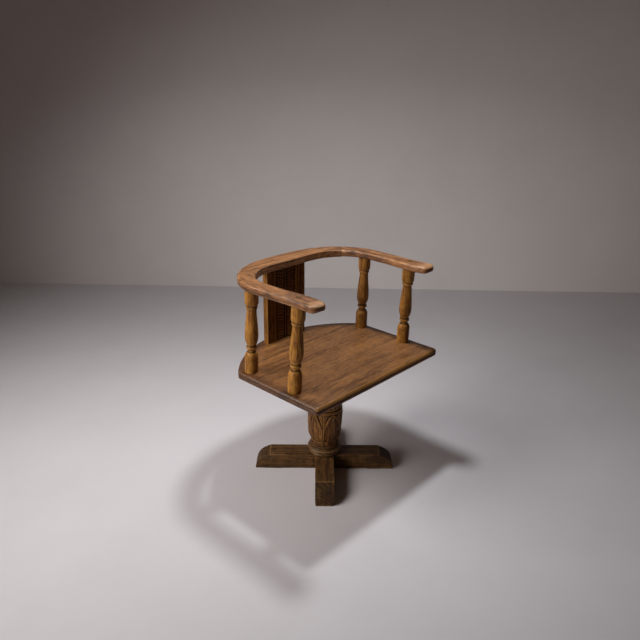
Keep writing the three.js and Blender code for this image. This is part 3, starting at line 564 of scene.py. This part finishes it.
# %% Lathe
def turn(runs, sides, steps):
    outline = [Vector((runs[0][0][0], 0, runs[0][0][1]))]
    for run in [runs[0][1:], *runs[1:]]:
        knots = [outline[-1], *[(radius, 0, height) for radius, height in run]]
        outline += fair_curve(knots, steps if len(run) > 1 else 1)[1:]
    bm = bmesh.new()
    closed = (outline[0] - outline[-1]).length < 1e-6
    points = [bm.verts.new(point) for point in (outline[:-1] if closed else outline)]
    following = points[1:] + (points[:1] if closed else [])
    edges = [bm.edges.new(pair) for pair in zip(points, following)]
    bmesh.ops.spin(bm, geom=points + edges, cent=(0, 0, 0), axis=(0, 0, 1), angle=tau,
                   steps=sides, use_merge=True)
    close(bm)
    return bm


def scaled(runs, radius, bottom, height):
    return [[(r * radius, bottom + h * height) for r, h in run] for run in runs]


foot_ring_runs = [
    [(0.37, 0), (0.82, 0)], [(0.87, 0.06), (0.91, 0.15), (0.92, 0.24), (0.9, 0.33), (0.86, 0.38)],
    [(0.84, 0.42)], [(0.92, 0.44)],
    [(0.97, 0.51), (0.995, 0.61), (1, 0.71), (0.985, 0.83), (0.94, 0.91)], [(0.9, 0.93)],
    [(0.87, 1)], [(0.37, 1)], [(0.37, 0)],
]
ring_radius, ring_bottom, ring_height = 0.0603, 0.0592, 0.0293
foot_ring = turn(scaled(foot_ring_runs, ring_radius, ring_bottom, ring_height), 96, 4)
make("foot_ring_oak", foot_ring, ring_wood, "base", ["column_foot_ring"], 0.4)

# %% [markdown]
# ## The carved baluster
# The baluster is turned first and carved after, and it is made the same way here. The lathe gives
# a fine mesh, and then every point of the cup is sunk by the depth of the carving there. Five
# leaves stand round the cup with raised borders. A groove and flutes run up each leaf, and a
# smaller pointed leaf fills each gap.

# %% Baluster outline
bulb_radius, bulb_bottom, bulb_height = 0.060, 0.1095, 0.1305
column_top, capital_height, neck_bottom, neck_height = 0.383, 0.055, 0.0886, 0.0209
neck_runs = [
    [(0.79, 0.06)], [(0.835, 0.14), (0.847, 0.28), (0.83, 0.42), (0.79, 0.48)], [(0.77, 0.5)],
    [(0.81, 0.57), (0.827, 0.7), (0.81, 0.83), (0.77, 0.91)], [(0.76, 0.93)], [(0.79, 1)],
]
bulb_runs = [
    [(0.803, 0.027), (0.823, 0.057), (0.867, 0.096), (0.913, 0.134), (0.953, 0.18),
     (0.982, 0.234), (0.995, 0.31), (1.004, 0.387), (1.011, 0.45), (1.013, 0.52), (1.013, 0.59),
     (1.013, 0.65), (1.016, 0.71), (1.02, 0.77), (1.03, 0.83), (1.028, 0.875), (1.01, 0.908)],
    [(0.985, 0.923)], [(1.01, 0.935), (1.022, 0.962), (1.008, 0.99)], [(0.93, 1)],
]
cover_runs = [
    [(0.93, 0.03)],
    [(0.98, 0.06), (0.99, 0.18), (0.95, 0.38), (0.86, 0.57), (0.74, 0.72), (0.6, 0.86),
     (0.52, 0.93)], [(0.5, 1)],
]
capital_runs = [
    [(0.57, 0.05), (0.58, 0.12), (0.5, 0.18)],
    [(0.46, 0.24), (0.46, 0.36), (0.52, 0.5), (0.64, 0.62), (0.78, 0.69)],
    [(0.82, 0.72), (0.84, 0.8), (0.82, 0.88)], [(0.78, 0.9)], [(0.78, 1)],
]
cover_bottom = bulb_bottom + bulb_height
cover_height = column_top - capital_height - cover_bottom
tenon_radius, tenon_bottom, recess_radius, recess_bottom = 0.022, 0.0251, 0.022, 0.3511
tenon_runs = [[(tenon_radius, tenon_bottom), (tenon_radius, neck_bottom)],
              [(0.79 * bulb_radius, neck_bottom)]]
recess_runs = [[(recess_radius, column_top)], [(recess_radius, recess_bottom)]]
leaf_count, steps_in_a_leaf = 5, 60
baluster = turn(
    tenon_runs + scaled(neck_runs, bulb_radius, neck_bottom, neck_height)
    + scaled(bulb_runs, bulb_radius, bulb_bottom, bulb_height)
    + scaled(cover_runs, bulb_radius, cover_bottom, cover_height)
    + scaled(capital_runs, bulb_radius, column_top - capital_height, capital_height) + recess_runs,
    leaf_count * steps_in_a_leaf, 5)
print("baluster points before carving:", len(baluster.verts))

# %% [markdown]
# A point of the cup is described by two shares: how far it lies from the middle of its leaf
# towards the middle of the gap, and how high it is on the cup. The depth is a sum of plain
# shapes in those shares, so each part of the leaf can be made wider or deeper by one number.

# %% Carving the cup
column_turn, cover_valley_depth = radians(10.3), 0.0016
leaf_foot, leaf_shoulder, leaf_crown, leaf_top = 0.06, 0.463, 0.86, 0.905
crown_half_width, border_width = 0.38, 0.23
gap_depth, small_leaf_rise, small_leaf_groove = 4.8, 2.6, 0.9
field_depth, flute_rise, midrib_rise, side_groove_depth = 2.9, 1.1, 1.4, 1.2


def smooth(value, low, high):
    share = min(1.0, max(0.0, (value - low) / (high - low)))
    return share * share * (3 - 2 * share)


def leaf_half_width(height):
    if height <= leaf_shoulder:
        return 1.0
    if height <= leaf_crown:
        share = (height - leaf_shoulder) / (leaf_crown - leaf_shoulder)
        return 1 - (1 - crown_half_width) * (0.8 * share + 0.2 * share * share)
    return crown_half_width * sqrt(max(0.0, (leaf_top - height) / (leaf_top - leaf_crown)))


def carving_depth(aside, height):
    """Depth in millimetres at a share aside of the leaf's middle and a share up the cup."""
    half = leaf_half_width(height)
    begins = smooth(height, leaf_foot - 0.02, leaf_foot + 0.02)
    ends = 1 - smooth(height, 0.895, 0.915)
    into_gap = smooth(aside, half - 0.01, half + 0.06)
    gap_share = (1 - aside) / max(1 - half, 0.05)
    small_leaf = (small_leaf_rise * (1 - smooth(gap_share, 0.55, 0.8))
                  - small_leaf_groove * (1 - smooth(gap_share, 0.04, 0.16)))
    gap = (gap_depth - small_leaf) * smooth(height, leaf_shoulder - 0.03, leaf_shoulder + 0.08)
    border = border_width * (0.45 + 0.55 * smooth(height, leaf_shoulder - 0.2, leaf_shoulder + 0.08))
    field_half = half - border
    into_field = 1 - smooth(aside, field_half - 0.05, field_half + 0.03)
    across = aside / max(field_half, 0.05)
    flute = flute_rise * abs(sin(across * pi * 1.5))
    midrib = midrib_rise * (1 - smooth(aside, 0.0, 0.08))
    field = (field_depth - flute - midrib * 0.4) * smooth(field_half, 0.0, 0.12)
    side_groove = (side_groove_depth * smooth(aside, 0.93, 1.0)
                   * (1 - smooth(height, leaf_shoulder, leaf_shoulder + 0.06)))
    return begins * ends * max(into_gap * gap, into_field * field, side_groove)


def carve(bm):
    sector = tau / leaf_count
    for vert in bm.verts:
        height = (vert.co.z - bulb_bottom) / bulb_height
        radius = hypot(vert.co.x, vert.co.y)
        angle = atan2(vert.co.y, vert.co.x) % sector
        aside = min(angle, sector - angle) / (sector / 2)
        if 0 < height < 0.92 and radius > 0.03:
            sunk = radius - 0.001 * carving_depth(aside, height)
        elif 1.0 < height < 1.78 and radius > 0.025:
            valley = 1 - abs(cos(angle / sector * pi * 4))
            share = smooth(height, 1.02, 1.1) * (1 - smooth(height, 1.68, 1.78))
            sunk = radius - cover_valley_depth * valley * share
        else:
            continue
        vert.co.x *= sunk / radius
        vert.co.y *= sunk / radius


carve(baluster)
# Painted shade: the neck under the bulb is darkened for the shade beneath the bulb's overhang.
rub_or_darken(baluster, lambda place: neck_bottom < place.z < bulb_bottom, -0.06)
carving_turn = Matrix.Rotation(base_turn + column_turn, 3, "Z")
bmesh.ops.rotate(baluster, matrix=carving_turn, verts=baluster.verts)
make("baluster_oak", baluster, baluster_wood, "base", ["column_baluster"], 0.1)

# %% [markdown]
# ## Spindles
# Four turned spindles hold the rail. Each is turned upright and then leaned to its own foot and
# its own place under the rail. The tenon goes on into the rail, and the front ones come through it,
# so that their dark end grain shows as a small disc on top.

# %% Spindles
seat_level, rail_top, rail_thickness = 0.440, 0.7386, 0.0244
spindle_length = rail_top - rail_thickness - seat_level
spindle_radius = 0.0214
spindle_runs = [
    [(1, -0.05), (1, 0.19)], [(0.985, 0.207), (0.93, 0.225), (0.86, 0.239), (0.78, 0.25)],
    [(0.63, 0.258), (0.57, 0.268), (0.57, 0.288)],
    [(0.72, 0.293), (0.79, 0.302), (0.805, 0.311), (0.79, 0.322)],
    [(0.7, 0.33), (0.68, 0.34), (0.73, 0.353), (0.83, 0.372), (0.95, 0.405), (1, 0.445),
     (0.97, 0.52), (0.87, 0.62), (0.76, 0.71), (0.71, 0.775)], [(0.83, 0.787)],
    [(0.855, 0.798), (0.84, 0.81)], [(0.79, 0.818)], [(0.9, 0.828), (0.97, 0.844), (1, 0.862)],
    [(1, 1.05)],
]
spindle_tenon_radius, spindle_clearance = 0.0095, 0.0003
through_tenon_proud, blind_tenon_short = 0.0002, 0.001
trimmed_foot = seat_level + spindle_clearance
trimmed_head = rail_top - rail_thickness - spindle_clearance


def trim(bm, low, high):
    """Saws a leaning piece level at both ends."""
    for level, up in [(low, -1), (high, 1)]:
        saw(bm, (0, 0, level), (0, 0, up), clear_outer=True)
        close(bm)


def spindle(foot, lean_in, lean_forward, side, shows_on_top):
    axis = Vector((-side * lean_in, -lean_forward, spindle_length)).normalized()
    leaned = Vector((0, 0, 1)).rotation_difference(axis).to_matrix().to_4x4()
    place = Matrix.Translation((side * foot[0], foot[1], seat_level)) @ leaned
    body = turn(scaled(spindle_runs, spindle_radius, 0, spindle_length), 48, 4)
    bmesh.ops.transform(body, matrix=place, verts=body.verts)
    trim(body, trimmed_foot, trimmed_head)
    head = max(body.faces, key=lambda face: face.calc_center_median().z)
    shoulder = spindle_radius - spindle_tenon_radius
    bmesh.ops.inset_individual(body, faces=[head], thickness=shoulder, use_even_offset=True)
    tenon = bmesh.ops.extrude_discrete_faces(body, faces=[head])["faces"][0]
    tenon_length = (rail_top if shows_on_top else rail_top - blind_tenon_short) - trimmed_head
    bmesh.ops.translate(body, vec=axis * (tenon_length / axis.z), verts=tenon.verts)
    rub_or_darken(body, lambda place: place.z > rail_top - through_tenon_proud, -0.1)
    return body


for row, foot, lean_in, lean_forward in [("front", (0.2687, -0.121), 0.0055, 0.0128),
                                         ("rear", (0.2704, 0.072), 0.0027, 0.0085)]:
    for hand, side, tone in [("left", -1, 0.42), ("right", 1, 0.6)]:
        name = f"spindle_{row}_{hand}"
        turned = spindle(foot, lean_in, lean_forward, side, row == "front")
        make(f"{name}_oak", turned, upright_wood, "seat_unit", [name],
             tone + (0.2 if row == "front" else 0))

# %% [markdown]
# ## The seat
# Four boards glued edge to edge, with one moulding worked round the whole seat: a thumb moulding
# on top, a narrow quirk and a bead below. So the seat is made whole and sawn into its boards
# afterwards. Each level of the moulding is a ring of arcs and straight lines, and the rings
# are bridged.

# %% Seat outline
seat_half_width, seat_half_depth, seat_thickness = 0.3033, 0.2476, 0.0247
side_length, front_corner, rear_corner, sharpest_corner = 0.3462, 0.013, 0.006, 0.001
back_rise = 2 * seat_half_depth - side_length
back_radius = (seat_half_width ** 2 + back_rise ** 2) / (2 * back_rise)
back_centre = seat_half_depth - back_radius


def seat_ring(bm, inset, level):
    side, front = seat_half_width - inset, -seat_half_depth + inset
    near, far = max(front_corner - inset, sharpest_corner), max(rear_corner - inset, sharpest_corner)
    radius = back_radius - inset
    far_x = side - far
    far_y = back_centre + sqrt((radius - far) ** 2 - far_x ** 2)
    corner = atan2(far_y - back_centre, far_x)
    quarter = pi / 2
    arcs = [
        ((side - near, front + near), near, -quarter, quarter, 8),
        ((far_x, far_y), far, 0, corner, 5),
        ((0, back_centre), radius, corner, pi - 2 * corner, 72),
        ((-far_x, far_y), far, pi - corner, corner, 5),
        ((near - side, front + near), near, pi, quarter, 8),
    ]
    loop = []
    for centre, arc_radius, start, sweep, steps in arcs:
        seed = bm.verts.new((centre[0] + arc_radius * cos(start),
                             centre[1] + arc_radius * sin(start), level))
        before = set(bm.verts)
        bmesh.ops.spin(bm, geom=[seed], cent=(*centre, level), axis=(0, 0, 1), angle=sweep, steps=steps)
        loop += [seed, *[v for v in bm.verts if v not in before]]
    merged = bmesh.ops.find_doubles(bm, verts=loop, dist=1e-5)["targetmap"]
    bmesh.ops.weld_verts(bm, targetmap=merged)
    loop = [v for v in loop if v.is_valid]
    edges = set()
    for first, second in zip(loop, loop[1:] + loop[:1]):
        edges.add(bm.edges.get((first, second)) or bm.edges.new((first, second)))
    return list(edges)


thumb_width, thumb_height, quirk_depth, quirk_height = 0.011, 0.0115, 0.0018, 0.0016
bead_round, bead_setback, flat_guard = 0.0036, 0.0005, 0.005
fall = 0.0002  # Bridge Loops can twist two rings that lie at one level, so each flat falls by a hair


def seat_moulding():
    """Pairs of inset and depth below the seat's top, from the underside up."""
    bead_top = thumb_height + quirk_height
    bead_bottom = seat_thickness - fall
    steps = [(bead_setback + bead_round + flat_guard, seat_thickness)]
    steps += [(bead_setback + bead_round * (1 - sin(angle)),
               bead_bottom - (bead_bottom - bead_top) * (1 - cos(angle)) / 2)
              for angle in [i * pi / 10 for i in range(11)]]
    quirk_inset = quirk_depth + bead_setback + bead_round
    steps += [(quirk_inset, bead_top - fall), (quirk_inset, thumb_height + 0.0004)]
    steps += [(thumb_width * (1 - cos(angle)), fall + (thumb_height - fall) * (1 - sin(angle)))
              for angle in [i * pi / 20 for i in range(11)]]
    return steps + [(thumb_width + flat_guard, 0)]


seat = bmesh.new()
rings = [seat_ring(seat, inset, seat_level - depth) for inset, depth in seat_moulding()]
for lower, upper in zip(rings, rings[1:]):
    bmesh.ops.bridge_loops(seat, edges=lower + upper)
close(seat)
bmesh.ops.recalc_face_normals(seat, faces=seat.faces)
quirk_level = seat_level - thumb_height
bead_level = quirk_level - quirk_height - 0.0006
# Painted shade: the narrow quirk under the thumb is darkened for the shade that falls into it.
rub_or_darken(seat, lambda place: bead_level < place.z < quirk_level - 0.0002, -0.4)
rub_or_darken(seat, lambda place: place.z < bead_level, -0.015)
rub_or_darken(seat, lambda place: quirk_level - 0.0001 < place.z < seat_level - 0.006, -0.04)
# The front edge is made paler: partly wear, partly a painted highlight for the light it catches.
rub_or_darken(seat, lambda place: place.y < 0.009 - seat_half_depth and place.z > quirk_level, 0.36)
seat_surface = sum(face.calc_area() for face in seat.faces)
print(f"seat: back radius {back_radius:.4f} m,",
      f"volume {seat.calc_volume() * 1e6:.0f} cubic centimetres,",
      f"surface {seat_surface * 1e4:.0f} square centimetres")

# %% [markdown]
# Sawing is Bisect Plane, and each cut is closed again. Two more lines beside each joint let its edge
# sink by a hair, which is all that shows of a glued joint in an old seat.

# %% Seat boards
joints, half_gap, sink = [None, -0.09, 0.003, 0.113, None], 0.0001, 0.0003
boards = [("front", 0.9), ("middle_front", 0.35), ("middle_rear", 0.1), ("rear", 0.6)]
for (name, tone), near, far in zip(boards, joints, joints[1:]):
    board = seat.copy()
    for level, keep in [(near, 1), (far, -1)]:
        if level is None:
            continue
        for step in (0.003, 0.0006, half_gap):
            saw(board, (0, level + keep * step, 0), (0, keep, 0), clear_inner=step == half_gap)
        close(board)
        rub_or_darken(board, lambda place: abs(place.y - level) < 0.0007, -0.06)
        for vert in board.verts:
            if abs(vert.co.y - level) < 0.0004 and vert.co.z > seat_level - 0.0001:
                vert.co.z -= sink
    make(f"seat_board_{name}_oak", board, seat_wood, "seat_unit", [f"seat_board_{name}"],
         tone, 30)
seat.free()

# %% [markdown]
# ## The arm rail
# Three sawn pieces, flat on top and bottom: the back with a crisp inner arris, and two arms with
# rounded edges and rounded ends. A section is pushed along the plan curve, station by station,
# and each step turns it square to the curve and sets its width.

# %% Rail line
rail_half_width, back_reach, front_reach, arm_width = 0.2955, 0.236, 0.2195, 0.057
tip_radius, tip_thinning, joint_gap, section_lead = 0.020, 0.016, 0.0002, 0.0015
last_station, joint_station, steps_per_station = 11, 4, 6
rail_shares = [
    (0, 1, 1.351), (0.223, 0.998, 1.333), (0.457, 0.949, 1.21), (0.65, 0.845, 1.088),
    (0.822, 0.678, 1.035), (0.937, 0.479, 1), (0.993, 0.246, 0.974), (0.995, 0, 0.947),
    (0.988, -0.25, 0.939), (0.981, -0.524, 1.009), (0.981, -0.752, 1.053),
]
right_line = [(x * rail_half_width, y * (back_reach if y > 0 else front_reach), width * arm_width)
              for x, y, width in rail_shares]
right_line.append((0.988 * rail_half_width, tip_radius - front_reach, arm_width))
left_line = [(-x, y, width) for x, y, width in reversed(right_line[1:])]
rail_line = fair_curve(left_line + right_line, steps_per_station)
rail_face = rail_top - through_tenon_proud
print("rail line:", len(rail_line), "places")


def rail_place(index, push=0.0, narrow=0.0, thin=0.0):
    """The matrix that carries a section of unit width and unit thickness to its place."""
    point = rail_line[index]
    before, after = rail_line[max(index - 1, 0)], rail_line[min(index + 1, len(rail_line) - 1)]
    along = Vector((after.x - before.x, after.y - before.y, 0)).normalized()
    outward = Vector((-along.y, along.x, 0))
    width, thickness = point.z - 2 * narrow, rail_thickness - thin
    middle = Vector((point.x, point.y, rail_face - rail_thickness / 2))
    section = Matrix((outward * width, along, Vector((0, 0, thickness)))).transposed().to_4x4()
    return Matrix.Translation(middle + along * push - outward * narrow) @ section


# %% [markdown]
# The section is a rectangle of unit size whose corners are rounded with their own radii. Flat
# stretches get a point near each end, so that the rounding's shading doesn't spread over them.

# %% Rail pieces
def rail_section(bm, radii, place):
    """A rounded section; the radii go from the bottom inner corner round to the top inner one."""
    corners = [(-1, -0.5, 1, 1, pi), (0, -0.5, -1, 1, 1.5 * pi), (0, 0.5, -1, -1, 0),
               (-1, 0.5, 1, -1, pi / 2)]

    def lead(point, angle, way):
        """A point on the flat, just before an arc's start or just after its end."""
        return (point[0] - way * section_lead / arm_width * round(sin(angle)),
                point[1] + way * section_lead / rail_thickness * round(cos(angle)))

    verts = []
    for (u, v, into_u, into_v, start), radius in zip(corners, radii):
        across, upright = radius / arm_width, radius / rail_thickness
        angles = [start + i * pi / 12 for i in range(7)]
        arc = [(u + across * (into_u + cos(a)), v + upright * (into_v + sin(a))) for a in angles]
        points = [lead(arc[0], angles[0], -1), *arc, lead(arc[-1], angles[-1], 1)]
        verts += [bm.verts.new(place @ Vector((x, 0, z))) for x, z in points]
    return [bm.edges.new(pair) for pair in zip(verts, verts[1:] + verts[:1])]


def push_along(radii, places):
    bm = bmesh.new()
    edges = rail_section(bm, radii, places[0])
    for here, there in zip(places, places[1:]):
        grown = bmesh.ops.extrude_edge_only(bm, edges=edges)
        bmesh.ops.transform(bm, matrix=there @ here.inverted(), verts=new_points(grown))
        edges = [part for part in grown["geom"]
                 if isinstance(part, bmesh.types.BMEdge) and part.is_boundary]
    close(bm)
    return bm


def mark_joint(bm, place, inward):
    """Adds two lines beside a joint and darkens the joint itself, where polish and dust collect."""
    spot, square = place.translation, (place.to_3x3() @ Vector((0, inward, 0))).normalized()
    for step in (0.0005, 0.003):
        saw(bm, spot + square * step, square)
    rub_or_darken(bm, lambda point: abs((point - spot).dot(square)) < 0.0002, -0.4)


centre, joint = last_station * steps_per_station, joint_station * steps_per_station
back_places = [rail_place(centre - joint, joint_gap),
               *map(rail_place, range(centre - joint + 1, centre + joint)),
               rail_place(centre + joint, -joint_gap)]
rail_back = push_along([0.0015, 0.005, 0.005, 0.0015], back_places)
mark_joint(rail_back, back_places[0], 1)
mark_joint(rail_back, back_places[-1], -1)
make("rail_back_oak", rail_back, rail_back_wood, "seat_unit", ["rail_back"], 0.3, 30)

tip_places = []
for angle in [i * pi / 16 for i in range(1, 8)] + [pi / 2 - 0.05]:
    drawn_in = 1 - cos(angle)
    tip_places.append(rail_place(len(rail_line) - 1, tip_radius * sin(angle), tip_radius * drawn_in,
                                 tip_thinning * drawn_in))
arm_places = [rail_place(centre + joint, joint_gap),
              *map(rail_place, range(centre + joint + 1, len(rail_line)))]
for hand, side, tone in [("right", 1, 0.5), ("left", -1, 0.05)]:
    arm = push_along([0.008] * 4, arm_places + tip_places)
    mark_joint(arm, arm_places[0], 1)
    for back, wear in [(2.6, 0.12), (1.6, 0.25), (0.9, 0.45)]:
        worn_to = tip_radius * back - front_reach
        rub_or_darken(arm, lambda place: place.y < worn_to and place.z > rail_face - 0.005, wear)
    bmesh.ops.scale(arm, vec=(side, 1, 1), verts=arm.verts)
    make(f"rail_arm_{hand}_oak", arm, rail_arm_wood, "seat_unit", [f"rail_arm_{hand}"],
         tone, 30)

# %% [markdown]
# ## The splat
# Two plain stiles with a bead along the inner edge frame a carved panel. A stile is its plan
# outline drawn up to the rail. The panel is a fine grid, pushed in where the carver's gouge
# went: two climbing columns of curled lobes on both sides of a stem.

# %% Stiles
splat_back, splat_thickness, stile_inner, stile_width = 0.2133, 0.022, 0.0474, 0.0428
bead_radius, bead_drop, splat_clearance = 0.0032, 0.0016, 0.0002
upright_bottom = seat_level + splat_clearance
upright_top = rail_top - rail_thickness - splat_clearance


def stile(side):
    front = splat_back - splat_thickness
    bead = [(bead_radius - bead_radius * cos(t), bead_drop + bead_radius - bead_radius * sin(t))
            for t in [i * pi / 12 for i in range(13)]]
    quirk = [(0.0078, bead_drop + 0.002), (0.0084, 0)]
    back = [(stile_width, 0), (stile_width, splat_thickness), (0, splat_thickness)]
    bm = drawn_out([(stile_inner + x, front + y, upright_bottom) for x, y in bead + quirk + back],
                   (0, 0, upright_top - upright_bottom))
    soften(bm, [e for e in bm.edges if span(e).z > 0.1
                and e.verts[0].co.x > stile_inner + stile_width - 1e-5], 0.0016)
    guard_flats(bm, 0.003, 0.004)
    bmesh.ops.scale(bm, vec=(side, 1, 1), verts=bm.verts)
    return bm


for hand, side, tone in [("left", -1, 0.25), ("right", 1, 0.75)]:
    make(f"splat_stile_{hand}_oak", stile(side), stile_wood, "seat_unit",
         [f"splat_stile_{hand}"], tone, 30)

# %% [markdown]
# The carving repeats every row. Each row has a broad lobe and a narrow one that rise outwards
# from the stem and end in a rounded tip short of the bead. Depth is again a sum of plain shapes.

# %% Carved panel
panel_half_width = stile_inner - splat_clearance
panel_setback, panel_back_setback = 0.0028, 0.004
panel_face = splat_back - splat_thickness + panel_setback
rows, relief = 12, 0.0046
row_height = (upright_top - upright_bottom) / rows


def lobe_height(x, z):
    """How far the carving stands above its ground, from 0 to 1."""
    aside = abs(x) / panel_half_width
    rise = 0.62 * aside + 0.22 * sin(aside * pi)
    phase = (z - upright_bottom) / row_height - rise + (0.35 if x > 0 else 0)
    along = phase % 1
    broad = sin(pi * min(along / 0.58, 1)) if along < 0.58 else 0
    narrow = 0.75 * sin(pi * (along - 0.58) / 0.42) if along >= 0.58 else 0
    swell = smooth(aside, 0.1, 0.32) * (1 - smooth(aside, 0.8, 0.93))
    vein = 1 - 0.25 * (1 - smooth(abs(along - 0.29), 0.0, 0.06))
    return swell * max(broad * vein, narrow) ** 0.75


panel = bmesh.new()
bmesh.ops.create_grid(panel, x_segments=94, y_segments=270, size=0.5)
bmesh.ops.scale(panel, vec=(2 * panel_half_width, upright_top - upright_bottom, 1), verts=panel.verts)
bmesh.ops.rotate(panel, matrix=Matrix.Rotation(pi / 2, 3, "X"), verts=panel.verts)
bmesh.ops.translate(panel, vec=(0, panel_face, (upright_top + upright_bottom) / 2), verts=panel.verts)
for vert in panel.verts:
    stem = 0.3 * (1 - smooth(abs(vert.co.x), 0.0012, 0.0032))
    vert.co.y += relief * (1 - max(lobe_height(vert.co.x, vert.co.z), stem))
back_edge = bmesh.ops.extrude_edge_only(panel, edges=[e for e in panel.edges if e.is_boundary])
for vert in new_points(back_edge):
    vert.co.y = splat_back - panel_back_setback
close(panel)
make("splat_panel_oak", panel, panel_wood, "seat_unit", ["splat_panel"], 0.5)

# %% [markdown]
# ## Battens and dowels
# Two battens hold the boards together from below. Each is a bar with its lower ends chamfered,
# so it starts as a cube and gets two bevels. The dowels inside the rail's joints never show, so
# they stay as the CAD made them.

# %% Battens
batten_top, batten_thickness, batten_width, batten_length = 0.415, 0.0188, 0.044, 0.4
batten_aside, batten_chamfer = 0.07, 0.009
batten_middle = batten_top - batten_thickness / 2
for hand, side in [("left", -1), ("right", 1)]:
    batten = bmesh.new()
    bmesh.ops.create_cube(batten, size=1)
    bmesh.ops.scale(batten, vec=(batten_width, batten_length, batten_thickness), verts=batten.verts)
    bmesh.ops.translate(batten, vec=(side * batten_aside, 0, batten_middle), verts=batten.verts)
    soften(batten, [e for e in batten.edges if span(e).y < 1e-6
                    and all(v.co.z < batten_middle for v in e.verts)], batten_chamfer, 1)
    soften(batten, [e for e in batten.edges if e.calc_face_angle() > 0.3], 0.0012, 2)
    guard_flats(batten, 0.003, 0.004)
    make(f"batten_{hand}_oak", batten, batten_wood, "seat_unit",
         [f"seat_batten_{hand}"], 0.3)

# %% [markdown]
# ## Iron
# The swivel's plates, pin, nuts and screws are plain forged and turned iron. Their CAD shapes are
# right as they are, so they only get a finish: dark scale, a little brown rust and duller
# patches.

# %% Iron finish
def old_iron():
    finish = Finish("swivel_iron")
    place = finish.node("ShaderNodeTexCoord", output="Object")
    scale_marks = finish.noise(place, 90, 4, 0.6)
    rust = finish.noise(place, 28, 5, 0.7).rise(0.5, 0.68)
    scratches = finish.noise(finish.stretched(place, (1, 8, 1)), 300, 2)
    base = finish.blend(scale_marks.rise(0.3, 0.7), colour("#26241f"), colour("#4a4743"))
    base = finish.blend(rust * 0.6, base, colour("#5a3520"))
    return finish.surface({"Base Color": base, "Metallic": (1 - rust * 0.8).clamped(),
                           "Roughness": (0.42 + scale_marks * 0.2 + rust * 0.25).clamped()},
                          scale_marks + scratches * 0.3 + rust * 0.5, 0.0004)


iron = old_iron()
dowel_wood = oak("dowel_oak", ALONG_X, golden, 0.6, "#c0904f", coat=0)
replaced = {name for piece in bpy.data.objects for name in piece.get("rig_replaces", [])}
for name, node in frame["nodes"].items():
    if name not in replaced:
        for slot in node.material_slots:
            slot.material = dowel_wood if "dowel" in name else iron
print("CAD pieces that stay:", len(frame["nodes"]) - len(replaced))
